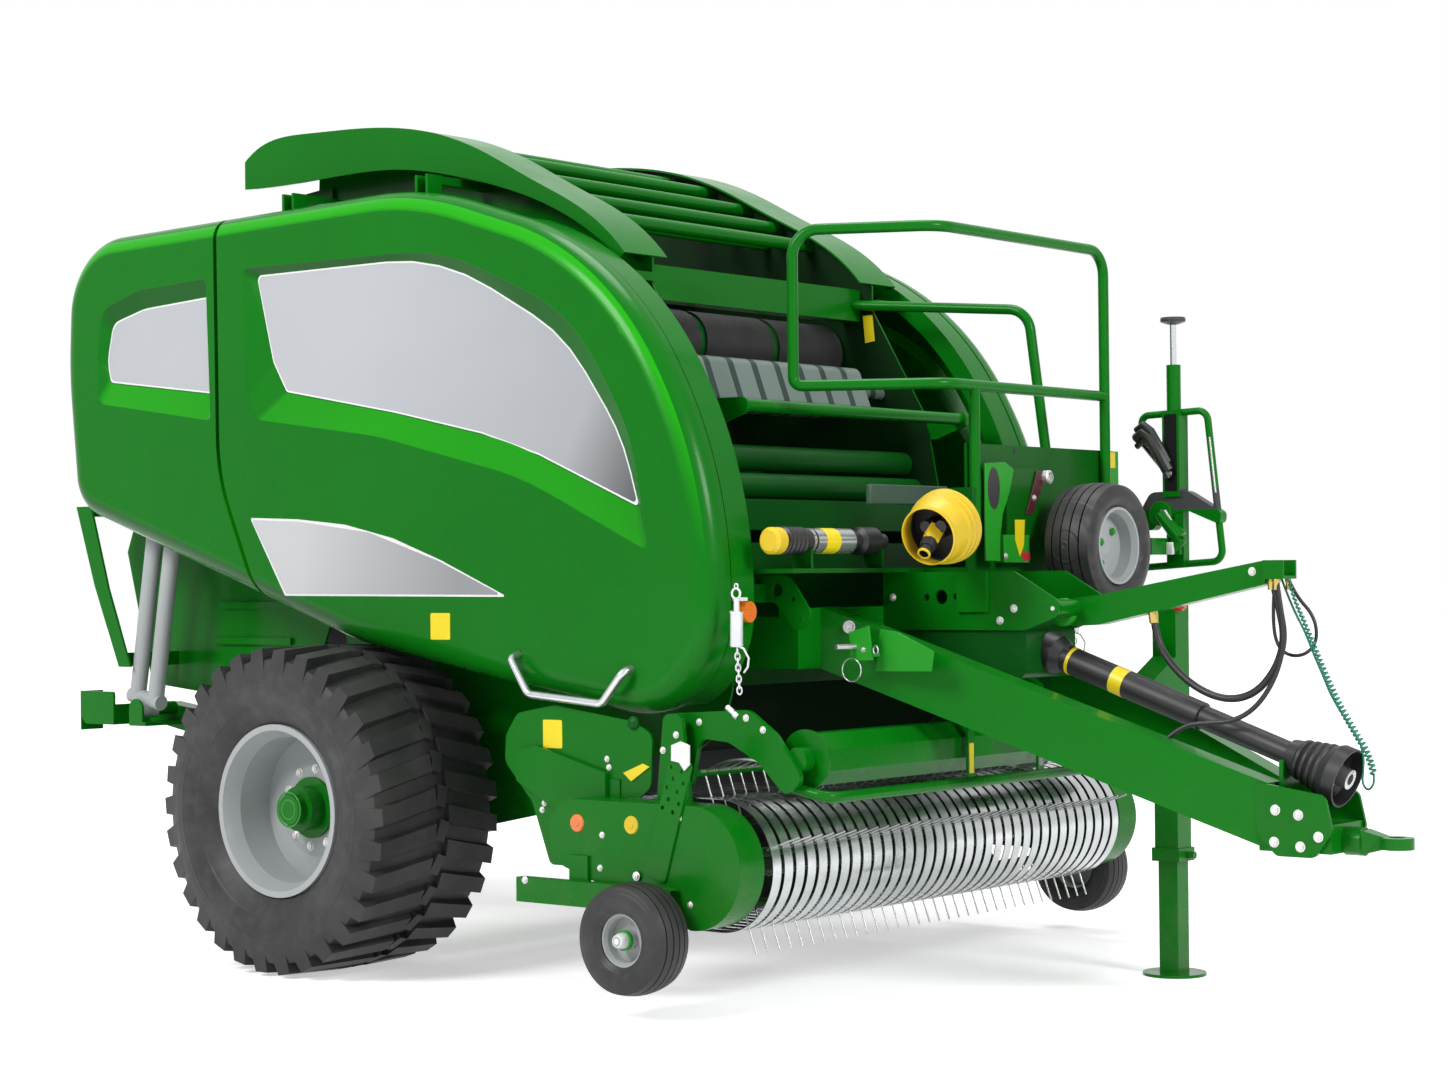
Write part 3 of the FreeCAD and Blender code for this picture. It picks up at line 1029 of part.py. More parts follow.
def build_hoops():
    """The row of bands, joined at both ends by cross bars between the shields."""
    pitch = BAND_SPAN / BAND_COUNT
    outline = band_outline()
    starts = [-BAND_SPAN / 2 + pitch * (i + 0.5) - BAND_W / 2 for i in range(BAND_COUNT)]
    hoops = [slab(outline, y, y + BAND_W) for y in starts]
    half = SHIELD_IN_Y - GAP
    inner = PICKUP_ARM_Y - 10 - GAP
    top = box(LINK_X + 32, LINK_X + 52, -inner, inner, REEL_Z + BAND_R - 24, REEL_Z + BAND_R - 1)
    low = box(LINK_X + 145, LINK_X + 175, -half, half, REEL_Z - BAND_R - 8, REEL_Z - BAND_R + 25)
    save("pickup_bands", fuse(hoops + [top, low]))


def build_reel():
    """Shaft with tine bars round it; the tines reach out between the bands."""
    half = SHIELD_IN_Y - 8
    reach = SHIELD_Y - SHIELD_T - GAP
    shaft = disc_y(REEL_X, -reach, reach, REEL_Z, 40)
    discs = [disc_y(REEL_X, y - 4, y + 4, REEL_Z, 150) for y in (-half + 4, 0, half - 4)]
    pitch = BAND_SPAN / BAND_COUNT
    parts = [shaft] + discs
    for i in range(TINE_BARS):
        a = math.radians(TINE_FIRST + i * 360 / TINE_BARS)
        c, s = math.cos(a), math.sin(a)
        parts.append(disc_y(REEL_X + 135 * c, -half, half, REEL_Z + 135 * s, 16))
        for k in range(1, BAND_COUNT):
            y = -BAND_SPAN / 2 + pitch * k
            parts.append(rod((REEL_X + 130 * c, y, REEL_Z + 130 * s),
                             (REEL_X + TINE_REACH * c, y, REEL_Z + TINE_REACH * s), TINE_D / 2))
    save("reel", fuse(parts))


def build_gauge_wheels():
    tyre = revolved(ribbed_section(GAUGE_R, GAUGE_W, 84, 10, 5))
    disc = revolved(rim_section(84 - GAP, 110, 10, 6, 0))
    cap = turned([(0, 15), (31, 15), (31, 40), (24, 44), (24, 66), (15, 82), (0, 82)])
    cap = aimed(cap, (0, 0, 0), (0, 1, 0))
    rim = fuse([disc, cap])
    for name, side in (("right", -1), ("left", 1)):
        save("gauge_tyre_" + name, place_wheel(tyre, GAUGE_X, GAUGE_Y, GAUGE_Z, side))
        save("gauge_rim_" + name, place_wheel(rim, GAUGE_X, GAUGE_Y, GAUGE_Z, side))


def guard_wires():
    """Row of curved wires over the reel, and the lateral bar that holds them."""
    a0, a1 = math.radians(122), math.radians(50)

    def at(a, r):
        return V(REEL_X + r * math.cos(a), 0, REEL_Z + r * math.sin(a))
    am, r0, r1 = (a0 + a1) / 2, WIRE_R - WIRE_T / 2, WIRE_R + WIRE_T / 2
    outer = Part.Arc(at(a0, r1), at(am, r1), at(a1, r1)).toShape()
    inner = Part.Arc(at(a1, r0), at(am, r0), at(a0, r0)).toShape()
    outline = Part.Wire([outer, Part.makeLine(at(a1, r1), at(a1, r0)), inner,
                         Part.makeLine(at(a0, r0), at(a0, r1))])
    span = GUARD_ARM_Y - 85
    step = 2 * span / (WIRE_COUNT - 1)
    wires = [slab(outline, -span + step * i - WIRE_T / 2, -span + step * i + WIRE_T / 2)
             for i in range(WIRE_COUNT)]
    bar = at(a0, WIRE_R)
    return wires + [disc_y(bar.x, -GUARD_ARM_Y - 1, GUARD_ARM_Y + 1, bar.z, 14)]


def build_guard():
    """Wind guard: hooked arms on lateral tubes, wires and straps, with the crop roller between the arms."""
    outline = rounded([(1500, 935, 30), (1840, 955, 70), (1950, 880, 60), (2060, 740, 35), (1985, 690, 30),
                       (1880, 790, 60), (1760, 850, 60), (1640, 860, 40), (1600, 700, 25), (1540, 700, 25)])
    arm = slab(outline, GUARD_ARM_Y, GUARD_ARM_Y + 20).cut(disc_y(GUARD_X, 0, FAR, GUARD_Z,
                                                                  GUARD_PIN_R + PIN_PLAY))
    tube = tube_along([(1990, -GUARD_ARM_Y + 20, 712), (2120, -GUARD_ARM_Y + 30, 685),
                       (2120, GUARD_ARM_Y - 30, 685), (1990, GUARD_ARM_Y - 20, 712)], [50, 50], 18)
    seat = box(1975, 2010, GUARD_ARM_Y - 40, GUARD_ARM_Y + 5, 705, 735)
    strap = [(2116, 685), (2124, 685), (2124, 994), (1884, 1138), (1880, 1130), (2116, 989)]
    straps = [plate(strap, y, y + 40) for y in (-195, 230)]
    save("wind_guard", fuse(both(arm) + both(seat) + [tube] + straps + guard_wires()))
    end = GUARD_ARM_Y - GAP
    turns = [math.radians(22.5 + 45 * i) for i in range(8)]
    drum = plate([(CROP_X + CROP_R * math.cos(a), CROP_Z + CROP_R * math.sin(a)) for a in turns], -930, 930)
    ends = both(disc_y(CROP_X, 929, 937, CROP_Z, CROP_R + 7))
    hubs = both(disc_y(CROP_X, 930, end, CROP_Z, 40))
    save("crop_roller", fuse([drum] + ends + hubs))


# ---------------------------------------------------------------- tailgate rams
def build_rams():
    low, top = V(RAM_LOW[0], RAM_Y, RAM_LOW[1]), V(RAM_TOP[0], RAM_Y, RAM_TOP[1])
    along = (top - low).normalize()
    across = V(along.z, 0, -along.x)
    length = (top - low).Length
    barrels, rods, rooms = [], [], []
    for k in (-0.5, 0.5):
        base = low + across * (k * RAM_PITCH)
        barrels.append(Part.makeCylinder(RAM_R, length - 130, base + along * 40, along))
        rods.append(Part.makeCylinder(ROD_R, length - 120, base + along * 80, along))
        rooms.append(Part.makeCylinder(ROD_R + 0.5, length, base + along * 78, along))
    foot = disc_y(low.x, RAM_Y - RAM_BOSS / 2, RAM_Y + RAM_BOSS / 2, low.z, 36)
    yoke = rod(tuple(low + along * 40 - across * 90), tuple(low + along * 40 + across * 90), 30)
    head = rod(tuple(top - across * 90), tuple(top + across * 90), ROD_HEAD_R)
    rooms.append(disc_y(low.x, 0, FAR, low.z, RAM_PIN_R + PIN_PLAY))
    save_both("ram_barrel", fuse(barrels + [foot, yoke]).cut(fuse(rooms)))
    save_both("ram_rod", fuse(rods + [head]))


def main():
    os.makedirs("parts", exist_ok=True)
    build_wheels()
    build_axle()
    build_walls()
    build_tail_frame()
    build_panels()
    build_bands()
    build_lamps()
    build_fins()
    build_chamber()
    build_top()
    frame = build_drawbar()
    build_front(frame)
    build_headstock()
    build_rails()
    build_stowed()
    build_shaft()
    build_jack(frame)
    build_arm()
    build_cords()
    build_pickup()
    build_covers()
    build_hoops()
    build_reel()
    build_gauge_wheels()
    build_guard()
    build_rams()


main()
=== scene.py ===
"""Looks of the round baler: camera, light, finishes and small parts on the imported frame.  Metres."""
import json
import math
import bmesh
import bpy
from mathutils import Matrix, Vector


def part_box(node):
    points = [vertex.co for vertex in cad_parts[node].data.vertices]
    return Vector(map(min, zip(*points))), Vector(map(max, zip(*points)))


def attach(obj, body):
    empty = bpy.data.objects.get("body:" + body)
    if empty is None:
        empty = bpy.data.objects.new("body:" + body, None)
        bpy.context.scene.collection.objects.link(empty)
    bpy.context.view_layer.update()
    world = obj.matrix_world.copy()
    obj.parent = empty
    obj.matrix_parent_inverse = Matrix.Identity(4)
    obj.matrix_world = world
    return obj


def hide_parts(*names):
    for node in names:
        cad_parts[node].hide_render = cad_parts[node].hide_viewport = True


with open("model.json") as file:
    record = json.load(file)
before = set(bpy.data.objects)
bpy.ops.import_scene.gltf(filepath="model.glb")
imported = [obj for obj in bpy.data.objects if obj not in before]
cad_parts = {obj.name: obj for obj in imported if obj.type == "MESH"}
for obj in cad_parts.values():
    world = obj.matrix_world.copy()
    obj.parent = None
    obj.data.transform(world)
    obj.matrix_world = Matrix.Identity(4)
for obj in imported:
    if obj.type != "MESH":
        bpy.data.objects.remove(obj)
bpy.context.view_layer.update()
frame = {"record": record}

# ---- places taken from the frame
# Lengths: forward from the road wheels' axis, outward from the middle, up from the ground.
WHEEL_LOW, WHEEL_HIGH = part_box("tyre_right")
AXLE_X = (WHEEL_LOW[0] + WHEEL_HIGH[0]) / 2
AXLE_Z = (WHEEL_LOW[2] + WHEEL_HIGH[2]) / 2
PANEL_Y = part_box("door_left")[1][1]  # outer face of the side panels
FLOOR_Y = PANEL_Y - 0.024            # floor of the pressed fields
SIDES = (("right", -1), ("left", 1))
X, Y, Z = range(3)                   # axes by number
Y_AXIS = Vector((0, 1, 0))
REEL_X, REEL_Z = 1.745, 0.46         # axis of the pickup's reel and bands
SHIELD_Y = 1.18                      # outer face of the pickup's end shields
COVER_Y = 1.0601                     # just outside the plates behind the shields
PLATE_X = 2.0402                     # just in front of the front panel
ARCH_X = 2.0805                      # front of the arch that carries the shaft and the wheel
FILM = 0.0008                        # thickness of sheets and stickers
BOLT_EDGE = 0.0008                   # bevel of bolts and small steel parts


def at(x, y, z):
    """A point given from the road wheels' axis, in the frame's own place."""
    return Vector((x + AXLE_X, y, z))


def circle(count):
    """The angles of a full turn."""
    return [2 * math.pi * k / count for k in range(count)]


def around(centre, first, other, radius, count):
    """Places on a circle, in the plane of two directions."""
    return [centre + radius * (math.cos(a) * first + math.sin(a) * other) for a in circle(count)]


def band(inner, outer, length):
    """Lathe section of a tube, in mm."""
    return [(inner, 0), (outer, 0), (outer, length), (inner, length)]


def metres(rows):
    """A table of millimetres, in metres."""
    return [tuple(value / 1000 for value in row) for row in rows]


def link(obj):
    """Put an object in the scene."""
    bpy.context.scene.collection.objects.link(obj)
    return obj


# ---- camera, floor and light
def add_camera():
    """The photographer's place, direction and lens."""
    yaw, pitch, roll = math.radians(39.33), math.radians(0.709), math.radians(-0.566)
    forward = Vector((-math.sin(yaw) * math.cos(pitch), math.cos(yaw) * math.cos(pitch), math.sin(pitch)))
    right = Vector((math.cos(yaw), math.sin(yaw), 0))
    up = right.cross(forward)
    right, up = (math.cos(roll) * right + math.sin(roll) * up,
                 -math.sin(roll) * right + math.cos(roll) * up)
    lens = bpy.data.cameras.new("camera")
    lens.lens, lens.sensor_width, lens.clip_end = 67.66, 36.0, 100.0
    camera = link(bpy.data.objects.new("camera", lens))
    camera.matrix_world = Matrix.Translation((6.277, -7.697, 1.376)) @ Matrix(
        (right, up, -forward)).transposed().to_4x4()
    bpy.context.scene.camera = camera


def feed(tree, node, inputs):
    """Give each input a value or another node's socket."""
    for key, value in inputs:
        if isinstance(value, bpy.types.NodeSocket):
            tree.links.new(value, node.inputs[key])
        else:
            node.inputs[key].default_value = value


def add_node(tree, kind, inputs=(), **settings):
    node = tree.nodes.new("ShaderNode" + kind)
    for key, value in settings.items():
        setattr(node, key, value)
    feed(tree, node, inputs)
    return node


def sees_white(tree):
    """1 where a camera, mirror or glass ray looks at the backdrop."""
    path = add_node(tree, "LightPath").outputs
    seen = path["Is Camera Ray"]
    for other in ("Is Glossy Ray", "Is Transmission Ray"):
        seen = add_node(tree, "Math", ((0, seen), (1, path[other])), operation="MAXIMUM").outputs[0]
    return seen


def add_world(level):
    """White to the camera, and a plain level of light for everything else."""
    world = bpy.data.worlds.new("studio")
    world.use_nodes = True
    tree = world.node_tree
    background = tree.nodes["Background"]
    background.inputs[0].default_value = (1, 1, 1, 1)
    scale = add_node(tree, "MapRange", (("Value", sees_white(tree)), ("To Min", level), ("To Max", 1.0)))
    tree.links.new(scale.outputs[0], background.inputs[1])
    bpy.context.scene.world = world


def add_lamp(name, place, aim, size, power):
    """A round area lamp that looks at a point."""
    light = bpy.data.lights.new(name, "AREA")
    light.shape, light.size, light.energy = "DISK", size, power
    lamp = link(bpy.data.objects.new(name, light))
    lamp.location = place
    lamp.rotation_euler = (Vector(aim) - Vector(place)).to_track_quat("-Z", "Y").to_euler()


def add_floor():
    """A pale floor that keeps the shadow and glows into the white backdrop with distance."""
    finish = Finish("floor", (0.93, 0.93, 0.93), 0.9, specular=0.0)
    away = finish.node("VectorMath", (0, finish.place), operation="LENGTH").outputs["Value"]
    rise = finish.node("MapRange", ("Value", away), ("From Min", 2.5), ("From Max", 7.0),
                       ("To Min", 0.5), ("To Max", 1.0), interpolation_type="SMOOTHSTEP").outputs[0]
    glow = finish.both(sees_white(finish.tree), rise)
    finish.tree.links.new(glow, finish.shader.inputs["Emission Strength"])
    finish.shader.inputs["Emission Color"].default_value = (1, 1, 1, 1)
    mesh = bpy.data.meshes.new("floor")
    corners = [(60 * x, 60 * y, -0.001) for x, y in ((-1, -1), (1, -1), (1, 1), (-1, 1))]
    mesh.from_pydata(corners, [], [(0, 1, 2, 3)])
    mesh.materials.append(finish.done(0.0))
    link(bpy.data.objects.new("floor", mesh))


# ---- finishes
class Finish:
    """One procedural material, built step by step."""

    def __init__(self, name, colour, rough, metal=0.0, specular=0.5):
        self.mat = bpy.data.materials.new(name)
        self.mat.use_nodes = True
        self.tree = self.mat.node_tree
        self.shader = self.tree.nodes["Principled BSDF"]
        self.shader.inputs["Specular IOR Level"].default_value = specular
        self.place = self.node("TexCoord").outputs["Object"]
        self.colour, self.rough, self.metal = (*colour, 1), rough, metal
        self.patches = []
        self.height = None

    def node(self, kind, *inputs, **settings):
        return add_node(self.tree, kind, inputs, **settings)

    def math(self, operation, a, b=0.0):
        return self.node("Math", (0, a), (1, b), operation=operation).outputs[0]

    def both(self, a, b):
        return self.math("MULTIPLY", a, b)

    def axis(self, index):
        """One part of the place."""
        return self.node("SeparateXYZ", (0, self.place)).outputs[index]

    def normal(self, index):
        """One part of the surface's own direction."""
        return self.node("SeparateXYZ", (0, self.node("TexCoord").outputs["Normal"])).outputs[index]

    def ribs(self, index, pitch):
        """A wave along an axis."""
        return self.math("SINE", self.both(self.axis(index), pitch))

    def noise(self, scale, detail=4.0, stretch=(1, 1, 1)):
        place = self.node("Mapping", ("Scale", stretch), ("Vector", self.place)).outputs[0]
        return self.node("TexNoise", ("Scale", scale), ("Detail", detail), ("Vector", place)).outputs[0]

    def between(self, value, low, high, out_low=0.0, out_high=1.0):
        """The value's run from low to high, brought to another run and held at its ends."""
        return self.node("MapRange", ("Value", value), ("From Min", low), ("From Max", high),
                         ("To Min", out_low), ("To Max", out_high)).outputs[0]

    def inside(self, index, low, high):
        """1 where the place along an axis lies between two values."""
        return self.both(self.math("GREATER_THAN", self.axis(index), low),
                         self.math("LESS_THAN", self.axis(index), high))

    def distance(self, x, z):
        """Distance from a line along Y."""
        dx, dz = (self.math("SUBTRACT", self.axis(i), value) for i, value in ((X, x), (Z, z)))
        return self.math("SQRT", self.math("ADD", self.both(dx, dx), self.both(dz, dz)))

    def mix(self, factor, a, b):
        return self.node("Mix", ("Factor", factor), ("A", a), ("B", b)).outputs["Result"]

    def tint(self, factor, colour):
        """Mix another colour in where the factor is 1."""
        self.colour = self.node("Mix", ("Factor", factor), ("A", self.colour), ("B", (*colour, 1)),
                                data_type="RGBA").outputs["Result"]
        return self

    def blotches(self, scale, low, high, most, colour):
        """Mix another colour in by slow clouds."""
        return self.tint(self.between(self.noise(scale), low, high, 0.0, most), colour)

    def patch(self, factor, colour, rough, metal=0.0):
        """Another finish where the factor is 1."""
        self.patches.append((factor, rough, metal))
        return self.tint(factor, colour)

    def grain(self, value, strength, distance):
        """Relief, added to what is there."""
        bump = self.node("Bump", ("Strength", strength), ("Distance", distance), ("Height", value))
        if self.height is not None:
            self.tree.links.new(self.height, bump.inputs["Normal"])
        self.height = bump.outputs[0]
        return self

    def done(self, spread=0.05):
        """Give the shader the colour, the roughness and its spread, the metal and the relief."""
        rough, metal = self.rough, self.metal
        if spread:
            rough = self.between(self.noise(6.0), 0.3, 0.7, rough - spread, rough + spread)
        for factor, other_rough, other_metal in self.patches:
            rough = self.mix(factor, rough, other_rough)
            if metal != other_metal:
                metal = self.mix(factor, metal, other_metal)
        feed(self.tree, self.shader,
             (("Base Color", self.colour), ("Roughness", rough), ("Metallic", metal)))
        if self.height is not None:
            self.tree.links.new(self.height, self.shader.inputs["Normal"])
        return self.mat


def darker(colour, share):
    return tuple(c * share for c in colour)


def paint_coat(name, colour, rough=0.28, coat=0.22):
    """Gloss machine paint: slow colour drift, a little dust low down, orange-peel bump."""
    finish = Finish(name, colour, rough, specular=0.1)
    finish.shader.inputs["Coat Weight"].default_value = coat
    finish.shader.inputs["Coat Roughness"].default_value = 0.12
    finish.shader.inputs["Coat IOR"].default_value = 1.25
    finish.blotches(1.3, 0.35, 0.7, 0.5, darker(colour, 0.8))
    low = finish.between(finish.axis(Z), 0.75, 0.1)
    dust = finish.both(low, finish.between(finish.noise(9.0), 0.4, 0.8))
    finish.tint(finish.both(dust, 0.22), (0.16, 0.17, 0.11))
    finish.grain(finish.noise(160.0, 2.0), 0.12, 0.0006)
    return finish


def paint(*look):
    return paint_coat(*look).done()


def steel(name, colour, rough=0.32, metal=0.85):
    """Bare or plated metal with drawn grain."""
    finish = Finish(name, colour, rough, metal=metal)
    finish.blotches(14.0, 0.4, 0.75, 0.35, darker(colour, 0.62))
    finish.grain(finish.noise(240.0, 2.0, (1, 8, 1)), 0.15, 0.0004)
    return finish.done(0.1)


def plastic(name, colour, rough=0.45):
    """Plastic, rubber hose or printed film, with slow shade and a fine grain."""
    finish = Finish(name, colour, rough, specular=0.4)
    finish.blotches(5.0, 0.35, 0.75, 0.35, darker(colour, 0.75))
    finish.grain(finish.noise(320.0, 2.0), 0.1, 0.0004)
    return finish.done()


def tyre_rubber(name, x, z, radius, rings):
    """Rubber with moulded rings on the side walls and dry dust in the hollows of the tread."""
    finish = Finish(name, (0.018, 0.018, 0.019), 0.5, specular=0.35)
    away = finish.distance(x, z)
    wave = finish.math("SINE", finish.both(away, 2 * math.pi * rings))
    below = finish.between(away, radius * 0.83, radius * 0.86, 1.0, 0.0)
    finish.blotches(7.0, 0.4, 0.75, 0.55, (0.05, 0.049, 0.046))
    dust = finish.between(finish.noise(22.0), 0.45, 0.7, 0.0, 0.4)
    finish.tint(finish.both(below, dust), (0.06, 0.059, 0.056))
    finish.grain(finish.both(finish.between(wave, 0.75, 1.0), below), 0.5, 0.0022)
    finish.grain(finish.noise(90.0, 4.0), 0.3, 0.001)
    return finish.done(0.08)


def belt_rubber():
    """Bale belts with a fine moulded diamond grain."""
    finish = Finish("belt_rubber", (0.022, 0.022, 0.023), 0.6, specular=0.3)
    finish.blotches(8.0, 0.4, 0.75, 0.5, (0.05, 0.052, 0.045))
    finish.grain(finish.both(finish.ribs(Y, 420.0), finish.ribs(Z, 420.0)), 0.5, 0.001)
    return finish.done(0.06)


def brushed(finish):
    """The fine horizontal brushing of printed silver."""
    return finish.grain(finish.noise(300.0, 2.0, (1, 1, 14)), 0.08, 0.0003).done(0.04)


def silver_sheet():
    """Printed silver: pale in the middle, darker toward the pointed end in front and low down."""
    finish = Finish("silver_sheet", (0.46, 0.475, 0.5), 0.34, metal=0.25)
    slope = finish.math("SUBTRACT", finish.axis(X), finish.both(finish.axis(Z), 0.55))
    finish.tint(finish.between(slope, AXLE_X - 1.2, AXLE_X + 0.35, 0.0, 0.75), (0.3, 0.31, 0.33))
    finish.tint(finish.between(slope, AXLE_X + 0.1, AXLE_X + 0.48, 0.0, 0.9), (0.07, 0.07, 0.075))
    return brushed(finish)


def low_silver():
    """Printed silver of the low sheets: pale behind, darker toward the front tip."""
    finish = Finish("low_silver", (0.52, 0.53, 0.54), 0.34, metal=0.25)
    finish.tint(finish.between(finish.axis(X), AXLE_X - 0.2, AXLE_X + 0.6, 0.0, 0.8), (0.2, 0.21, 0.22))
    return brushed(finish)


def lens_coat(name, colour):
    """Ribbed plastic lens."""
    finish = Finish(name, colour, 0.18)
    finish.shader.inputs["Coat Weight"].default_value = 0.5
    return finish.grain(finish.ribs(Z, 900.0), 0.4, 0.0008)


def lens(name, colour):
    finish = lens_coat(name, colour)
    finish.blotches(30.0, 0.4, 0.7, 0.3, darker(colour, 0.6))
    return finish.done(0.04)


GREEN = (0.002, 0.155, 0.005)
AMBER = (0.8, 0.17, 0.01)
SATIN_BLACK = (0.012, 0.012, 0.013)
YELLOW = (0.72, 0.5, 0.02)
GREEN_PAINT = paint("green_paint", GREEN)
DARK_GREEN = paint("dark_green", (0.003, 0.085, 0.008), 0.4, 0.1)
FRESH_GREEN = paint("fresh_green", (0.03, 0.33, 0.035))
SILVER_PAINT = paint("silver_paint", (0.42, 0.44, 0.45), 0.34, 0.2)
GALVANISED = steel("galvanised", (0.56, 0.58, 0.59), 0.24, 0.95)
BARE_STEEL = steel("bare_steel", (0.5, 0.5, 0.51), 0.3)
ZINC = steel("zinc_bolts", (0.72, 0.72, 0.7), 0.35, 0.6)
WHITE_STEEL = steel("white_steel", (0.72, 0.74, 0.76), 0.35, 0.35)
BLACK_PLASTIC = plastic("black_plastic", (0.018, 0.018, 0.019))
YELLOW_PLASTIC = plastic("yellow_plastic", YELLOW, 0.42)
YELLOW_FILM = plastic("yellow_film", (0.86, 0.68, 0.015), 0.35)
WHITE_FILM = plastic("white_film", (0.8, 0.8, 0.8), 0.35)
GREY_FILM = plastic("grey_film", (0.2, 0.23, 0.22), 0.3)
ORANGE_LENS = lens("orange_lens", AMBER)
RED_LENS = lens("red_lens", (0.6, 0.02, 0.01))
BRASS = steel("yellow_zinc", (0.6, 0.45, 0.14), 0.32, 0.8)
HOSE_RUBBER = plastic("hose_rubber", (0.014, 0.014, 0.015), 0.4)
GREEN_CORD = plastic("green_cord", (0.005, 0.2, 0.11), 0.35)
SILVER_SHEET = silver_sheet()
LOW_SILVER = low_silver()
MAROON = plastic("maroon_bracket", (0.07, 0.012, 0.018), 0.4)
RED_FILM = plastic("red_film", (0.6, 0.03, 0.04), 0.35)
BRIGHT_GREEN = paint("bright_green", (0.02, 0.3, 0.02))
GREY_GREEN = plastic("grey_green", (0.02, 0.06, 0.035), 0.45)
BELTS = belt_rubber()


def dress_nodes():
    """Give every node of the frame its finish."""
    record = {part["node"]: part["material_slot"] for part in frame["record"]["subparts"]}
    by_slot = {
        "green_paint": GREEN_PAINT, "dark_green": DARK_GREEN, "silver_paint": SILVER_PAINT,
        "galvanised": GALVANISED, "bare_steel": BARE_STEEL, "belt_rubber": BELTS,
        "black_plastic": BLACK_PLASTIC, "yellow_plastic": YELLOW_PLASTIC, "orange_plastic": ORANGE_LENS,
        "hose_rubber": HOSE_RUBBER, "green_cord": GREEN_CORD}
    special = {
        # painted shade: the platform's darker copy of the green paint, and the gearbox in dark green
        "lamps": lamp_lenses(), "platform": paint("platform_paint", (0.003, 0.1, 0.005)),
        "gearbox": DARK_GREEN, "chassis_walls": walls_with_painted_shade(), "wind_guard": guard_paint(),
        "reel": reel_paint(), "cross_shaft": shaft_paint(), "adjuster_column": column_paint(),
        "net_box": box_paint()}
    for name, side in SIDES:
        special["hub_" + name] = GREEN_PAINT
        special["door_" + name] = panel_paint("door_%s_paint" % name, side)
        special["tailgate_cover_" + name] = panel_paint("cover_%s_paint" % name, side)
    for node, slot in record.items():
        if slot == "tyre_rubber":
            low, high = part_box(node)
            x, z, radius = (low[0] + high[0]) / 2, (low[2] + high[2]) / 2, (high[2] - low[2]) / 2
            mat = tyre_rubber(node + "_rubber", x, z, radius, 14 if radius > 0.4 else 22)
        else:
            mat = special.get(node, by_slot[slot])
        mesh = bpy.data.objects[node].data
        mesh.materials.clear()
        mesh.materials.append(mat)


def walls_with_painted_shade():
    """Green outside, near black inside the chamber: painted shade."""
    finish = paint_coat("walls_with_painted_shade", GREEN)
    # painted shade: the near-black patch between the walls, inside the chamber
    return finish.patch(finish.inside(Y, -0.632, 0.632), (0.002, 0.022, 0.003), 0.55).done()


def panel_paint(name, side, edge=0.001):
    """Door and cover paint: painted light on the pressed field's edge, a painted highlight where it looks
    up and painted shade where it looks down.
    """
    finish = paint_coat(name, GREEN)
    slope = finish.inside(Y, *sorted((side * (FLOOR_Y + edge), side * (PANEL_Y - edge))))
    field = finish.both(slope, finish.between(finish.axis(Z), 1.2, 1.25))
    tilt = finish.normal(Z)
    # painted highlight: the field's edge is lighter where it faces up
    finish.patch(finish.both(field, finish.between(tilt, 0.05, 0.3)), (0.012, 0.34, 0.003), 0.26)
    # painted shade: the field's edge is darker where it faces down
    finish.patch(finish.both(field, finish.between(tilt, -0.05, -0.3)), (0.002, 0.09, 0.005), 0.26)
    return finish.done()


def guard_paint():
    """Painted wind guard with bare wires."""
    finish = paint_coat("guard_paint", GREEN)
    away = finish.distance(AXLE_X + REEL_X, REEL_Z)
    ring = finish.both(finish.math("GREATER_THAN", away, 0.3255), finish.math("LESS_THAN", away, 0.3345))
    wires = finish.both(ring, finish.inside(Y, -0.93, 0.93))
    return finish.patch(wires, (0.5, 0.51, 0.5), 0.3, 0.8).done()


def reel_paint():
    """Dark painted reel with pale spring tines."""
    finish = paint_coat("reel_paint", (0.003, 0.05, 0.006))
    tines = finish.math("GREATER_THAN", finish.distance(AXLE_X + REEL_X, REEL_Z), 0.156)
    return finish.patch(tines, (0.55, 0.56, 0.54), 0.3, 0.7).done()


def shaft_paint():
    """Cross shaft: yellow cap, black bellows, bright tube and black joint."""
    finish = Finish("shaft_paint", (0.5, 0.51, 0.52), 0.26, metal=0.7)
    finish.blotches(9.0, 0.4, 0.75, 0.4, (0.3, 0.31, 0.32))
    finish.patch(finish.inside(Y, -0.9, -0.803), YELLOW, 0.42)
    for low, high in ((-0.803, -0.668), (-0.655, -0.645)):
        finish.patch(finish.inside(Y, low, high), (0.015, 0.015, 0.016), 0.4)
    finish.patch(finish.inside(Y, -0.44, 0.1), SATIN_BLACK, 0.4)
    finish.grain(finish.noise(200.0, 2.0), 0.12, 0.0005)
    return finish.done(0.06)


def column_paint():
    """Adjuster: black knob, bright screw, dark slide and arm, green frame."""
    finish = paint_coat("column_paint", GREEN)
    grey = (0.06, 0.062, 0.068)
    finish.patch(finish.inside(Z, 2.276, 2.4), grey, 0.4)
    finish.patch(finish.inside(Z, 2.131, 2.276), (0.7, 0.71, 0.72), 0.14, 1.0)
    for x0, x1, z0, z1, rough in ((2.206, 2.258, 1.67, 1.95, 0.25), (2.112, 2.199, 1.7, 1.93, 0.2)):
        strip = finish.both(finish.inside(X, AXLE_X + x0, AXLE_X + x1), finish.inside(Z, z0, z1))
        finish.patch(strip, SATIN_BLACK, rough)
    arm = finish.both(finish.inside(Y, 0.97, 1.03), finish.inside(Z, 1.602, 1.68))
    return finish.patch(arm, grey, 0.42).done()


def box_paint():
    """Net box: grey ribbed lid, green shelf."""
    finish = paint_coat("box_paint", GREEN)
    lid = finish.math("LESS_THAN", finish.axis(X), AXLE_X + 1.33)
    finish.patch(lid, (0.17, 0.22, 0.2), 0.35, 0.3)
    stripe = finish.both(lid, finish.math("GREATER_THAN", finish.ribs(Y, 48.0), 0.7))
    return finish.patch(stripe, (0.03, 0.05, 0.04), 0.4).done()


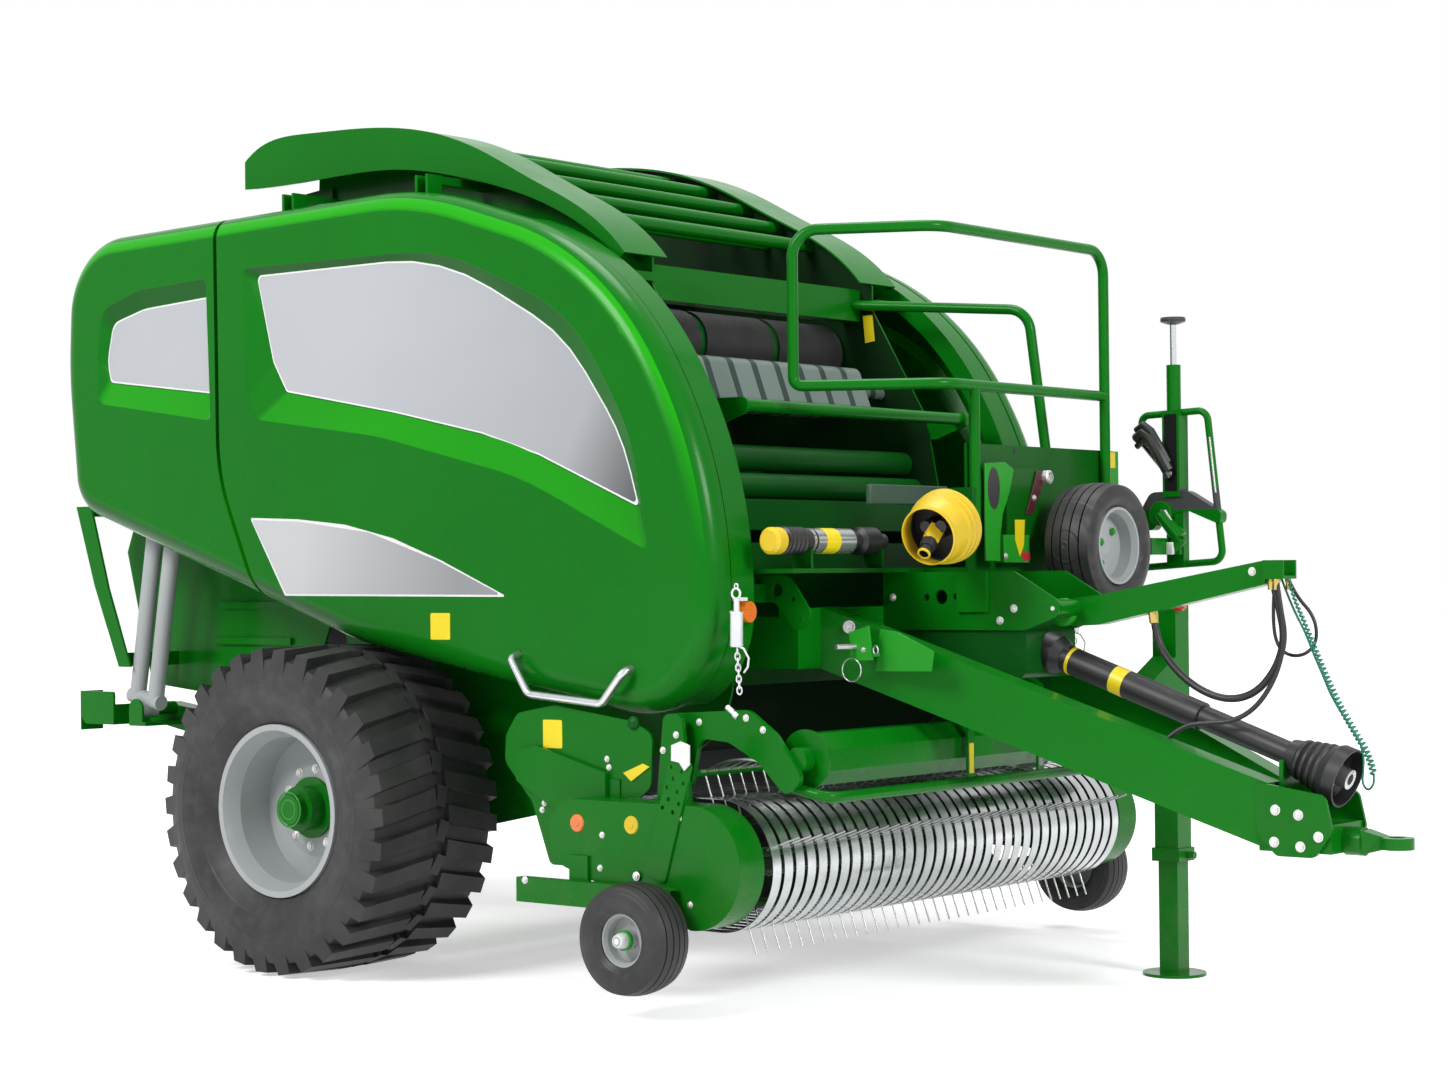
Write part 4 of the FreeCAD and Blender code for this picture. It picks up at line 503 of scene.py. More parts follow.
def lamp_lenses():
    """Amber in front and in the upper tail lamps, red in the lower ones."""
    finish = lens_coat("lamp_lenses", AMBER)
    finish.tint(finish.between(finish.axis(Z), 0.855, 0.86, 1.0, 0.0), (0.6, 0.015, 0.01))
    return finish.done(0.04)


# ---- small mesh forms
def rounded(corners, steps=6):
    """XZ outline: straight sides joined by arcs of so many steps in 0.8 rad.  Corners: (x, z, radius)."""
    points = []
    count = len(corners)
    for i, (x, z, radius) in enumerate(corners):
        here = Vector((x, z))
        into = (here - Vector(corners[i - 1][:2])).normalized()
        out = (Vector(corners[(i + 1) % count][:2]) - here).normalized()
        turn = into.angle(out)
        reach = radius * math.tan(turn / 2)
        centre = here + (out - into).normalized() * (radius / math.cos(turn / 2))
        first = (here - into * reach - centre).normalized()
        last = (here + out * reach - centre).normalized()
        pieces = max(1, round(steps * turn / 0.8))
        for k in range(pieces + 1):
            points.append(centre + radius * first.slerp(last, k / pieces))
    return points


class Shape:
    """A mesh in the making.  Each call adds one form."""

    def __init__(self):
        self.bm = bmesh.new()

    def bar(self, p, q, radius, end_radius=None, sides=20):
        """A bar or cone from p to q."""
        p, q = Vector(p), Vector(q)
        place = Matrix.Translation((p + q) / 2) @ (q - p).to_track_quat("Z", "Y").to_matrix().to_4x4()
        bmesh.ops.create_cone(self.bm, cap_ends=True, segments=sides, radius1=radius,
                              radius2=radius if end_radius is None else end_radius,
                              depth=(q - p).length, matrix=place)
        return self

    def block(self, low, high):
        """A box between two corners."""
        place = Matrix.Translation((low + high) / 2) @ Matrix.Diagonal((*(high - low), 1))
        bmesh.ops.create_cube(self.bm, size=1.0, matrix=place)
        return self

    def skin(self, rings, start=1):
        """Faces between neighbouring rings of corners; from 0 on, the last ring meets the first."""
        for i in range(start, len(rings)):
            for k in range(len(rings[i])):
                self.bm.faces.new((rings[i - 1][k - 1], rings[i - 1][k], rings[i][k], rings[i][k - 1]))
        return self

    def corners(self, places):
        return [self.bm.verts.new(p) for p in places]

    def slab(self, near, far):
        """A thin solid between two equal outlines."""
        ends = [self.corners(near), self.corners(far)]
        for end in ends:
            self.bm.faces.new(end)
        return self.skin(ends)

    def prism(self, points, push):
        """A flat outline of any plane, pushed out."""
        return self.slab(points, [p + Vector(push) for p in points])

    def plate(self, outline, y0, y1):
        """An XZ outline, in axle coordinates, as a plate from y0 to y1."""
        return self.slab(*([at(p[0], y, p[1]) for p in map(Vector, outline)] for y in (y0, y1)))

    def front_plate(self, x, outline, thick):
        """A YZ outline at x, in axle coordinates, as a plate pushed forward."""
        return self.prism([at(x, y, z) for y, z in outline], (thick, 0, 0))

    def lathe(self, place, axis, profile, sides):
        """A closed section of (radius, distance) points, in mm, turned round an axis."""
        axis = Vector(axis).normalized()
        first = axis.orthogonal().normalized()
        other = axis.cross(first)
        return self.skin([self.corners(around(Vector(place) + axis * along, first, other, radius, sides))
                          for radius, along in metres(profile)], 0)

    def bolt(self, place, axis, size):
        """Washer, hexagon head and a rounded end, standing on a face."""
        place, axis = Vector(place), Vector(axis).normalized()
        self.bar(place, place + axis * size * 0.14, size, sides=18)
        self.bar(place + axis * size * 0.1, place + axis * size * 0.55, size * 0.78, size * 0.74, sides=6)
        self.bar(place + axis * size * 0.5, place + axis * size * 0.72, size * 0.42, size * 0.36, sides=12)
        return self

    def sweep(self, points, radius, sides=10, closed=False):
        """A tube that follows the points."""
        count = len(points)
        rings = []
        normal = None
        for i, p in enumerate(points):
            ahead = points[(i + 1) % count] if closed or i < count - 1 else p
            behind = points[i - 1] if closed or i > 0 else p
            along = (ahead - behind).normalized()
            if normal is None:
                normal = along.orthogonal().normalized()
            normal = (normal - along * normal.dot(along)).normalized()
            other = along.cross(normal)
            rings.append(self.corners(around(p, normal, other, radius, sides)))
        self.skin(rings, 0 if closed else 1)
        if not closed:
            self.bm.faces.new(rings[0])
            self.bm.faces.new(rings[-1])
        return self

    def ring(self, centre, axis, radius, thick):
        """Round wire bent to a circle."""
        side = Vector(axis).orthogonal().normalized()
        other = Vector(axis).normalized().cross(side)
        return self.sweep(around(centre, side, other, radius, 28), thick, closed=True)

    def chain(self, start, end, wire=0.0028, pitch=0.018):
        """Welded links, each turned a quarter from the last."""
        start, end = Vector(start), Vector(end)
        along = (end - start).normalized()
        side = along.orthogonal().normalized()
        other = along.cross(side)
        for i in range(round((end - start).length / pitch)):
            centre = start + along * pitch * (i + 0.5)
            wide = side if i % 2 else other
            link = [centre + along * (math.cos(a) * pitch * 0.72) + wide * (math.sin(a) * pitch * 0.42)
                    for a in circle(14)]
            self.sweep(link, wire, 6, closed=True)
        return self

    def piece(self, name, body, slot, finish, bevel=0.0):
        """Close the mesh and let it ride on its body."""
        bmesh.ops.recalc_face_normals(self.bm, faces=self.bm.faces)
        mesh = bpy.data.meshes.new(name)
        self.bm.to_mesh(mesh)
        self.bm.free()
        obj = link(bpy.data.objects.new(name, mesh))
        mesh.materials.append(finish)
        if bevel:
            edge = obj.modifiers.new("edge", "BEVEL")
            edge.width, edge.segments, edge.limit_method = bevel, 2, "ANGLE"
        mesh.shade_smooth()
        mesh.set_sharp_from_angle(angle=math.radians(35))
        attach(obj, body)
        return obj


# ---- hoses and the safety line
ROUTES = {  # mm, from the road wheels' axis
    "hose_main": [(2725, -10, 1252), (2735, -12, 1165), (2790, -18, 1082), (2886, -24, 1005),
        (3000, -28, 968), (3100, -28, 990), (3172, -24, 1070), (3200, -18, 1165), (3180, -14, 1262),
        (3155, -12, 1356)],
    "hose_low": [(2838, -122, 849), (2880, -102, 889), (2950, -86, 899), (3045, -72, 905), (3122, -62, 950),
        (3180, -52, 1036), (3208, -44, 1130), (3204, -38, 1222), (3190, -36, 1298), (3182, -35, 1356)],
    "hose_loop": [(3192, 22, 1356), (3217, 23, 1300), (3280, 25, 1236), (3290, 26, 1158), (3249, 25, 1113),
        (3188, 22, 1110), (3146, 19, 1152), (3141, 16, 1262), (3152, 14, 1356)],
    "safety_coil": [(3203, 2, 1356), (3222, 2, 1290), (3258, 0, 1220), (3309, -2, 1100), (3362, -4, 985),
        (3424, -6, 885), (3478, -6, 805), (3488, -6, 752)],
    "safety_cord": [(3488, -6, 753), (3480, 14, 733), (3466, 34, 714), (3446, 39, 697), (3427, 39, 720),
        (3434, 36, 763), (3438, 28, 807), (3431, 20, 852), (3395, 15, 905), (3341, 13, 985),
        (3314, 12, 1050), (3282, 10, 1120), (3258, 9, 1182), (3226, 8, 1240), (3198, 8, 1300),
        (3176, 8, 1356)],
}


def spline_curve(name, points, bevel):
    """A smooth curve from the first point to the last.  A bevel makes it a tube."""
    curve = bpy.data.curves.new(name, "CURVE")
    curve.dimensions = "3D"
    curve.bevel_depth, curve.bevel_resolution, curve.resolution_u = bevel, 4, 12
    curve.use_fill_caps = bevel > 0
    line = curve.splines.new("NURBS")
    line.points.add(len(points) - 1)
    for point, place in zip(line.points, points):
        point.co = (*place, 1)
    line.order_u, line.use_endpoint_u = 3, True
    return link(bpy.data.objects.new(name, curve))


def line_points(points):
    """Points along the smooth line of a route."""
    guide = spline_curve("guide", points, 0.0)
    mesh = bpy.data.meshes.new_from_object(guide)
    places = [v.co.copy() for v in mesh.vertices]
    bpy.data.objects.remove(guide)
    bpy.data.meshes.remove(mesh)
    return places


def length_of(points):
    """Length of a line of straight steps."""
    return sum((b - a).length for a, b in zip(points, points[1:]))


def add_cords():
    """The hoses and the plain part of the safety line."""
    for node, diameter, slot, finish, stiffness in (
            ("hose_main", 0.024, "hose_rubber", HOSE_RUBBER, "medium"),
            ("hose_low", 0.016, "hose_rubber", HOSE_RUBBER, "medium"),
            ("hose_loop", 0.011, "hose_rubber", HOSE_RUBBER, "medium"),
            ("safety_cord", 0.007, "green_cord", GREEN_CORD, "limp")):
        route = [at(*p) for p in metres(ROUTES[node])]
        hose = spline_curve(node + "_line", route, diameter / 2)
        hose.data.materials.append(finish)
        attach(hose, "chassis")
        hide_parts(node)
        length_of(line_points(route))


def add_coil(wire=0.0034, outer=0.0125):
    """The curly part of the safety line: a helix round the route's smooth line, slimmer near the top."""
    places = line_points([at(*p) for p in metres(ROUTES["safety_coil"])])
    total = length_of(places)
    turns, steps = 46, 12
    helix, gone, i = [], 0.0, 0
    for k in range(turns * steps + 1):
        share = k / (turns * steps)
        want = share * total
        while i < len(places) - 2 and gone + (places[i + 1] - places[i]).length < want:
            gone += (places[i + 1] - places[i]).length
            i += 1
        along = (places[i + 1] - places[i]).normalized()
        centre = places[i] + along * (want - gone)
        other = along.cross(Y_AXIS).normalized()
        a = 2 * math.pi * k / steps
        radius = (outer - wire) * (0.25 + 0.75 * min(1.0, share * 1.8)) * min(1.0, k / steps)
        helix.append(centre + radius * (math.cos(a) * Y_AXIS + math.sin(a) * other))
    coil = spline_curve("safety_coil_line", helix, wire)
    coil.data.resolution_u, coil.data.bevel_resolution = 3, 2
    coil.data.materials.append(GREEN_CORD)
    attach(coil, "chassis")
    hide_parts("safety_coil")
    length_of(line_points(helix))


def add_hose_ends():
    """Crimped steel ends where the hoses meet the arm and the beam."""
    ends = Shape()
    for x, y, r in ((3.155, -0.012, 0.015), (3.182, -0.035, 0.0105), (3.192, 0.022, 0.0075),
                    (3.152, 0.014, 0.0075)):
        ends.bar(at(x, y, 1.352), at(x, y, 1.318), r, r * 0.92, 16)
        ends.bar(at(x, y, 1.352), at(x, y, 1.342), r * 1.3, sides=6)
    ends.bar(at(2.725, -0.010, 1.25), at(2.729, -0.011, 1.212), 0.016, 0.0145, 18)
    ends.piece("hose_ends", "chassis", "bare_steel", BRASS, BOLT_EDGE)


# ---- side panels
SHEETS = {  # printed sheets and their white edges: (x, z, corner radius) in mm
    "door": ([(-453, 2499, 20), (500, 2494, 1100), (1078, 2184, 700), (1328, 1840, 700), (1396, 1616, 10),
        (830, 1851, 1500), (268, 1971, 1500), (-296, 2073, 25), (-366, 2182, 80)],
        [(-459, 2505, 20), (500, 2500, 1100), (1080, 2190, 700), (1335, 1840, 700), (1405, 1605, 10),
        (830, 1845, 1500), (268, 1965, 1500), (-300, 2067, 25), (-372, 2180, 80)]),
    "cover": ([(-722, 2441, 8), (-1110, 2422, 200), (-1295, 2379, 60), (-1332, 2240, 150),
        (-1312, 2161, 25), (-702, 2087, 8)],
        [(-720, 2447, 8), (-1110, 2428, 200), (-1300, 2385, 60), (-1338, 2240, 150), (-1318, 2155, 25),
        (-700, 2080, 8)]),
    "low": ([(-470, 1602, 6), (160, 1575, 2200), (802, 1322, 4), (-285, 1330, 10)],
        [(-480, 1610, 6), (160, 1584, 2200), (830, 1315, 4), (-291, 1322, 10)]),
}


def add_sheets():
    """Bare silver sheets with a white edge, on the pressed fields and low on the doors."""
    for name, side in SIDES:
        for tag, body, face, finish in (("door", "door_" + name, FLOOR_Y, SILVER_SHEET),
                                        ("low", "door_" + name, PANEL_Y, LOW_SILVER),
                                        ("cover", "tailgate", FLOOR_Y, SILVER_SHEET)):
            sheet, edge = (rounded(metres(outline)) for outline in SHEETS[tag])
            title = tag + "_sheet_" + name
            Shape().plate(edge, side * (face + 0.0002), side * (face + FILM)).piece(
                title + "_edge", body, "silver_paint", WHITE_FILM)
            Shape().plate(sheet, side * (face + FILM), side * (face + 2 * FILM)).piece(
                title, body, "silver_paint", finish)


def sticker(name, body, x0, x1, z0, z1, y):
    """A small blank plate on a face that looks sideways."""
    corners = [(x, z, 0.006) for x, z in ((x0, z1), (x1, z1), (x1, z0), (x0, z0))]
    Shape().plate(rounded(corners, 3), y, y + math.copysign(0.0012, y)).piece(
        name, body, "yellow_plastic", YELLOW_FILM)


def add_stickers():
    """Blank plates of coloured film."""
    for name, side in SIDES:
        sticker("door_film_" + name, "door_" + name, 0.46, 0.555, 1.168, 1.26, side * (PANEL_Y + 0.0002))
        sticker("cover_film_" + name, "pickup", 1.008, 1.094, 0.812, 0.906, side * 1.06)
    film = Shape()
    pointed = ((0.167, 1.562), (0.23, 1.562), (0.222, 1.475), (0.196, 1.434), (0.168, 1.493))
    film.front_plate(ARCH_X + 0.001, pointed, FILM)
    film.front_plate(PLATE_X, ((0.804, 1.815), (0.9, 1.817), (0.9, 1.759), (0.803, 1.756)), FILM)
    flat = ((1.107, 2.36), (1.152, 2.362), (1.162, 2.262), (1.117, 2.256))
    film.prism([at(x, 0.625, z) for x, z in flat], (0, -0.001, 0))
    film.piece("platform_film", "chassis", "yellow_plastic", YELLOW_FILM)
    for name, y0, y1, slot, finish in (("strap_film", -0.188, -0.162, "yellow_plastic", YELLOW_FILM),
                                       ("strap_film_grey", 0.236, 0.264, "silver_paint", GREY_FILM)):
        Shape().block(at(2.1242, y0, 0.715), at(2.1252, y1, 0.815)).piece(name, "wind_guard", slot, finish)


# ---- wheels
def add_wheel_details():
    """Nuts, valve and hub rings of the road wheels."""
    for name, side in SIDES:
        body = "wheel_" + name
        near, end = sorted(abs(corner[1]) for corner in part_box("hub_" + name))
        rim_face, reach = side * near, 0.138       # the nuts' plane and the radius of their circle
        nuts = Shape()
        for i in range(10):
            a = math.radians(36 * i + 12)
            place = at(reach * math.cos(a), rim_face, AXLE_Z + reach * math.sin(a))
            nuts.bolt(place, (0, side, 0), 0.017)
        nuts.piece("wheel_nuts_" + name, body, "silver_paint", ZINC, BOLT_EDGE)
        rings = Shape()
        for radius, y in ((0.06, end - 0.0015), (0.034, end - 0.001)):
            rings.ring(at(0, side * y, AXLE_Z), Y_AXIS, radius, 0.0035)
        rings.bolt(at(0, side * (end - 0.006), AXLE_Z), (0, side, 0), 0.008)
        rings.piece("hub_rings_" + name, body, "green_paint", FRESH_GREEN)
        foot, tip = at(0.19, rim_face, AXLE_Z - 0.14), at(0.205, rim_face + side * 0.045, AXLE_Z - 0.15)
        Shape().bar(foot, tip, 0.005).piece("valve_" + name, body, "black_plastic", BLACK_PLASTIC)


# ---- the guard and its joint
def add_guard_cone():
    """Stepped yellow guard with the universal joint and the stub in it, and its bracket."""
    base, axis = at(2.168, -0.36, 1.537), Vector((0.116, -0.959, -0.26)).normalized()
    shell = [(118, 0), (124, 4), (124, 16), (117, 22), (121, 30), (121, 40), (113, 47), (116, 52),
             (116, 62), (108, 68), (99, 118), (94, 128), (96.5, 132), (96.5, 143), (91, 145), (90, 138),
             (95, 116), (104, 66), (112, 20), (114, 0)]
    cone = Shape().lathe(base, axis, shell, 72).piece(
        "guard_cone_shell", "chassis", "yellow_plastic", YELLOW_PLASTIC)
    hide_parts("guard_cone")
    # painted shade: a black inner coat on the cone's floor and wall, deep inside
    cone_inner_shade = [(2, 0), (113.5, 0), (113.5, 12), (100, 70), (98, 70), (110, 20), (2, 14)]
    dark = Shape().lathe(base, axis, cone_inner_shade, 72)
    joint = base + axis * 0.1
    drop = at(2.19, -0.53, 1.443) - joint
    dark.bar(base, base + axis * 0.085, 0.03)
    for turn in (-1, 1):
        ear = joint + Vector((turn * 0.03, 0, 0.022))
        dark.bar(ear - axis * 0.05, ear + axis * 0.008, 0.021, sides=8)
    dark.bar(joint + drop * 0.42, joint + drop * 0.72, 0.027, 0.025, 28)
    long = 1000 * drop.length
    dark.lathe(joint, drop, [(1, 30), (19, 30), (19, long), (15.5, long), (15.5, 70), (1, 70)], 32)
    dark.piece("guard_joint", "chassis", "black_plastic", BLACK_PLASTIC, 0.001)
    bright = Shape()
    bright.bar(joint - drop * 0.15, joint + drop * 0.45, 0.036, 0.033, 4)
    bright.lathe(joint + drop * 0.93, drop, [(19.5, 0), (22, 2), (22, 9), (16, 10.5), (15.5, 4)], 32)
    bright.piece("guard_joint_ring", "chassis", "yellow_plastic", YELLOW_PLASTIC, 0.002)
    hold = Shape().bar(base - axis * 0.03, base + axis * 0.012, 0.075, 0.09, 40)
    hold.bar(base - axis * 0.02, at(2.05, -0.29, 1.525), 0.022)
    hold.piece("guard_holder", "chassis", "green_paint", GREEN_PAINT, 0.002)


# ---- small parts of the front
def add_belt_run():
    """The belts' turn over the front roller, under the flat beam."""
    x, z, pitch, half = 0.9, 2.22, 0.42, 0.1925    # roller's axis, belts' spacing and half width
    turns = [math.radians(110 - 14 * k) for k in range(11)]
    rim = [(x + radius * math.cos(a), z + radius * math.sin(a))
           for radius, run in ((0.118, turns), (0.112, turns[::-1])) for a in run]
    belts = Shape()
    for i in (-1, 0, 1):
        belts.plate(rim, i * pitch - half, i * pitch + half)
    belts.piece("belt_run", "chassis", "belt_rubber", BELTS)
    Shape().bar(at(x, -0.628, z), at(x, 0.628, z), 0.109, sides=48).piece(
        "belt_roller", "chassis", "dark_green", DARK_GREEN, 0.004)


def add_carrier():
    """Carrier of the stowed wheel: plate with an oval hole, the holes drawn as black sheets of painted
    shade, maroon bracket, caps, tag and bolts.
    """
    horn = ((-0.02, 1.751), (0.1, 1.758), (0.157, 1.735), (0.13, 1.66), (0.085, 1.58), (0.068, 1.5),
            (0.066, 1.42), (-0.02, 1.42))
    plate = Shape().front_plate(ARCH_X, horn, 0.008)
    plate.block(at(2.04, 0.1, 1.415), at(ARCH_X + 0.0003, 0.26, 1.51))
    plate.block(at(2.0305, 0.8295, 1.42), at(2.0395, 0.925, 1.82))
    plate.piece("carrier_plate", "chassis", "green_paint", BRIGHT_GREEN, 0.002)
    dark = Shape()
    # painted shade: black sheets where the oval hole and two round holes are
    oval = [(0.03 + 0.036 * math.cos(a), 1.667 + 0.0715 * math.sin(a)) for a in circle(32)]
    dark.front_plate(ARCH_X + 0.0081, oval, FILM)
    for y, z, radius, sides in ((0.238, 1.801, 0.0095, 24), (0.75, 1.80, 0.005, 16)):
        dark.bar(at(PLATE_X, y, z), at(PLATE_X + 0.001, y, z), radius, sides=sides)
    dark.piece("carrier_hole_shade", "chassis", "black_plastic", BLACK_PLASTIC)
    arm = ((0.303, 1.732), (0.36, 1.735), (0.325, 1.66), (0.275, 1.585), (0.23, 1.58), (0.27, 1.66))
    Shape().front_plate(ARCH_X + 0.001, arm, 0.006).piece(
        "carrier_bracket", "chassis", "dark_green", MAROON, 0.0015)
    bright = Shape()
    cap = [(24, 0), (24, 20), (17, 24), (17, 6), (1, 6), (1, 0)]
    bright.lathe(at(2.086, 0.354, 1.712), (1, 0, 0), cap, 32)
    for x, y, z, size in ((2.087, 0.282, 1.639, 0.011), (ARCH_X + 0.0003, 0.109, 1.437, 0.011),
                          (2.041, 0.07, 1.6, 0.009)):
        bright.bolt(at(x, y, z), (1, 0, 0), size)
    bright.piece("carrier_bolts", "chassis", "bare_steel", ZINC, BOLT_EDGE)
    tag = ((0.203, 1.45), (0.259, 1.451), (0.262, 1.425), (0.22, 1.42))
    Shape().front_plate(ARCH_X + 0.0007, tag, 0.001).piece(
        "carrier_tag", "chassis", "orange_plastic", RED_FILM)
    ends = Shape()
    for y, z in ((0.424, 1.483), (0.424, 1.41), (0.37, 1.52), (0.5, 1.52)):
        ends.bolt(at(2.268, y, z), (1, 0, 0), 0.014)
    ends.piece("stowed_nuts", "chassis", "green_paint", FRESH_GREEN, BOLT_EDGE)


def add_latch():
    """Latch cylinders with eye, chain and pin, and the ring pin on the drawbar with its bracket."""
    latch = Shape()
    for y in (-1.0, 1.0):
        latch.ring(at(1.793, y, 1.322), Y_AXIS, 0.0165, 0.004)
        latch.ring(at(1.794, y, 1.346), Y_AXIS, 0.007, 0.0025)
        latch.bar(at(1.795, y, 1.304), at(1.795, y, 1.26), 0.0095)
        latch.bar(at(1.795, y, 1.265), at(1.794, y, 1.258), 0.0215, 0.0225)
        latch.bar(at(1.795, y, 1.26), at(1.793, y, 1.159), 0.0205, sides=32)
        latch.bar(at(1.793, y, 1.161), at(1.793, y, 1.153), 0.0225, 0.019)
        latch.chain(at(1.795, y, 1.15), at(1.804, y, 1.0))
        clip = ((1.798, 1.155), (1.822, 1.148), (1.842, 1.118), (1.838, 1.09), (1.822, 1.072))
        latch.sweep([at(x, y, z) for x, z in clip], 0.0035)
        latch.bar(at(1.752, y, 0.962), at(1.793, y, 0.934), 0.009)
        latch.bar(at(1.783, y, 0.941), at(1.797, y, 0.931), 0.012)
    latch.piece("latch_cylinders", "chassis", "bare_steel", WHITE_STEEL, BOLT_EDGE)
    pin = Shape()
    pin.ring(at(1.917, -0.558, 1.067), Y_AXIS, 0.038, 0.0026)
    pin.ring(at(2.015, -0.558, 1.133), (0.4, 1, 0), 0.014, 0.0028)
    pin.bar(at(1.93, -0.55, 1.143), at(1.905, -0.625, 1.143), 0.0095)
    pin.bolt(at(1.963, -0.556, 1.133), (0, -1, 0), 0.009)
    pin.bolt(at(1.857, -0.488, 1.206), (0.28, -0.96, 0), 0.022)
    pin.bolt(at(1.79, -0.462, 1.232), (0.28, -0.96, 0), 0.02)
    pin.piece("ring_pin", "chassis", "bare_steel", BARE_STEEL, BOLT_EDGE)
    bracket = Shape()
    bracket.plate(((1.905, 1.19), (1.985, 1.212), (2.0, 1.1), (1.914, 1.096)), -0.556, -0.548)
    bracket.block(at(1.93, -0.549, 1.11), at(1.99, -0.44, 1.122))
    bracket.plate(((1.99, 1.2), (2.06, 1.19), (2.2, 1.13), (2.19, 1.064), (1.97, 1.061)), -0.5, -0.49)
    bracket.piece("ring_pin_bracket", "chassis", "green_paint", BRIGHT_GREEN, 0.0015)


def add_adjuster():
    """Black hose bundle, lever, plate and cast joint of the adjuster in its frame."""
    y = 0.955
    tubes = Shape()
    for lift, radius in ((0.0, 0.022), (0.03, 0.014), (-0.028, 0.012)):
        line = ((2.1, 0.0, 1.865), (2.135, 0.01, 1.885), (2.17, 0.015, 1.86), (2.205, 0.012, 1.8),
                (2.23, 0.0, 1.745))
        tubes.sweep([at(x, y - inward, z + lift) for x, inward, z in line], radius)
    tubes.piece("adjuster_sleeves", "chassis", "black_plastic", BLACK_PLASTIC)
    bright = Shape()
    bright.bar(at(2.388, 0.975, 1.86), at(2.41, 0.975, 1.66), 0.0045)
    bright.bolt(at(2.235, y, 1.735), (0, -1, 0), 0.011)
    loop = ((2.2, 1.6), (2.215, 1.6), (2.26, 1.53), (2.255, 1.515), (2.235, 1.525), (2.2, 1.585))
    bright.sweep([at(x, y, z) for x, z in loop], 0.006, closed=True)
    bright.bolt(at(2.24, 0.975, 1.55), (0, -1, 0), 0.012)
    bright.piece("adjuster_lever", "chassis", "bare_steel", BARE_STEEL)
    Shape().block(at(2.2, 0.935, 1.44), at(2.255, 0.95, 1.485)).piece(
        "adjuster_plate", "chassis", "silver_paint", WHITE_FILM, 0.003)
    cast = Shape()
    cast.bar(at(2.19, 0.958, 1.59), at(2.19, 0.98, 1.59), 0.045, sides=36)
    cast.bar(at(2.19, 0.955, 1.59), at(2.27, 0.965, 1.5), 0.02, 0.03)
    cast.bar(at(2.27, 0.965, 1.5), at(2.235, 0.965, 1.45), 0.026, 0.02)
    cast.piece("adjuster_casting", "chassis", "green_paint", GREEN_PAINT, 0.003)


def turned_pair(name, body, slot, finish, place, profile, sides, bevel=0.0):
    """The same turned part on both sides."""
    turned = Shape()
    for side in (-1, 1):
        turned.lathe(at(place[0], side * place[1], place[2]), (0, side, 0), profile, sides)
    turned.piece(name, body, slot, finish, bevel)


def plate_pair(name, slot, finish, y0, y1, outline):
    """The same small plate on both sides of the pickup."""
    plates = Shape()
    for side in (-1, 1):
        plates.plate(outline, side * y0, side * y1)
    plates.piece(name, "pickup", slot, finish, 0.001)


def add_front_trim():
    """Cast joint of the hose arm, jack lamp, blank labels of the shafts, and the shaft's saddle."""
    turned_pair("arm_casting", "chassis", "green_paint", BRIGHT_GREEN, (2.406, 0.03, 1.248),
                [(1, 0), (47, 0), (47, 14), (38, 22), (1, 24)], 40, 0.002)
    lamp = Shape().bar(at(2.546, 0.45, 1.262), at(2.572, 0.45, 1.262), 0.021, 0.017, 28)
    lamp.bar(at(2.57, 0.45, 1.262), at(2.582, 0.45, 1.262), 0.017, 0.01, 28)
    lamp.piece("jack_lamp", "chassis", "orange_plastic", RED_LENS, 0.001)
    tape = Shape()
    rear, front = at(2.33, 0.0, 1.115), at(3.4, 0.0, 0.735)
    along = (front - rear).normalized()
    for start, length, radius in ((0.085, 12, 47.5), (0.26, 50, 46.7)):
        tape.lathe(rear + along * start, along, band(radius - 3, radius, length), 40)
    tape.piece("shaft_labels", "chassis", "yellow_plastic", YELLOW_FILM)
    Shape().lathe(at(1.815, -0.6, 1.49), Y_AXIS, band(41.5, 42.6, 75), 40).piece(
        "cross_shaft_label", "chassis", "yellow_plastic", YELLOW_FILM)
    Shape().plate(((1.955, 1.608), (1.977, 1.608), (1.977, 1.675), (1.955, 1.672)), -0.525, -0.08).piece(
        "shaft_saddle", "chassis", "black_plastic", GREY_GREEN, 0.006)


def add_pickup_trim():
    """Plates, tags, knobs and pan of the pickup, caps of its wheels, and the lamps' white tops."""
    plate_pair("white_plates", "silver_paint", WHITE_FILM, 1.19, 1.196,
               ((1.683, 0.849), (1.72, 0.862), (1.757, 0.851), (1.756, 0.789), (1.735, 0.77),
                (1.715, 0.795), (1.682, 0.8)))
    tops = Shape()
    for y in (-0.905, 0.905):
        tops.block(at(1.716, y - 0.02, 1.2975), at(1.748, y + 0.02, 1.309))
    tops.piece("lamp_tops", "chassis", "silver_paint", WHITE_FILM, 0.001)
    plate_pair("cover_tags", "yellow_plastic", YELLOW_FILM, COVER_Y + 0.0001, 1.066,
               ((1.366, 0.742), (1.45, 0.775), (1.478, 0.765), (1.4, 0.715)))
    turned_pair("cover_knobs", "pickup", "dark_green", DARK_GREEN, (1.41, COVER_Y + 0.0001, 0.905),
                [(1, 0), (22, 0), (22, 6), (12, 16), (1, 18)], 28)
    line = [(1.375, 0.79), (1.352, 0.66), (1.345, 0.5), (1.37, 0.36), (1.44, 0.25)]
    Shape().plate(line + [(x - 0.006, z) for x, z in line[::-1]], -1.02, 1.02).piece(
        "pickup_pan", "pickup", "dark_green", BLACK_PLASTIC)
    turned_pair("gauge_rings", "pickup", "green_paint", FRESH_GREEN, (1.62, 1.348, 0.25),
                band(24.5, 32.2, 12), 36)
    turned_pair("gauge_caps", "pickup", "silver_paint", WHITE_FILM, (1.62, 1.376, 0.25),
                [(1, -20), (24.6, -20), (24.6, 0), (19, 14), (1, 18)], 36)


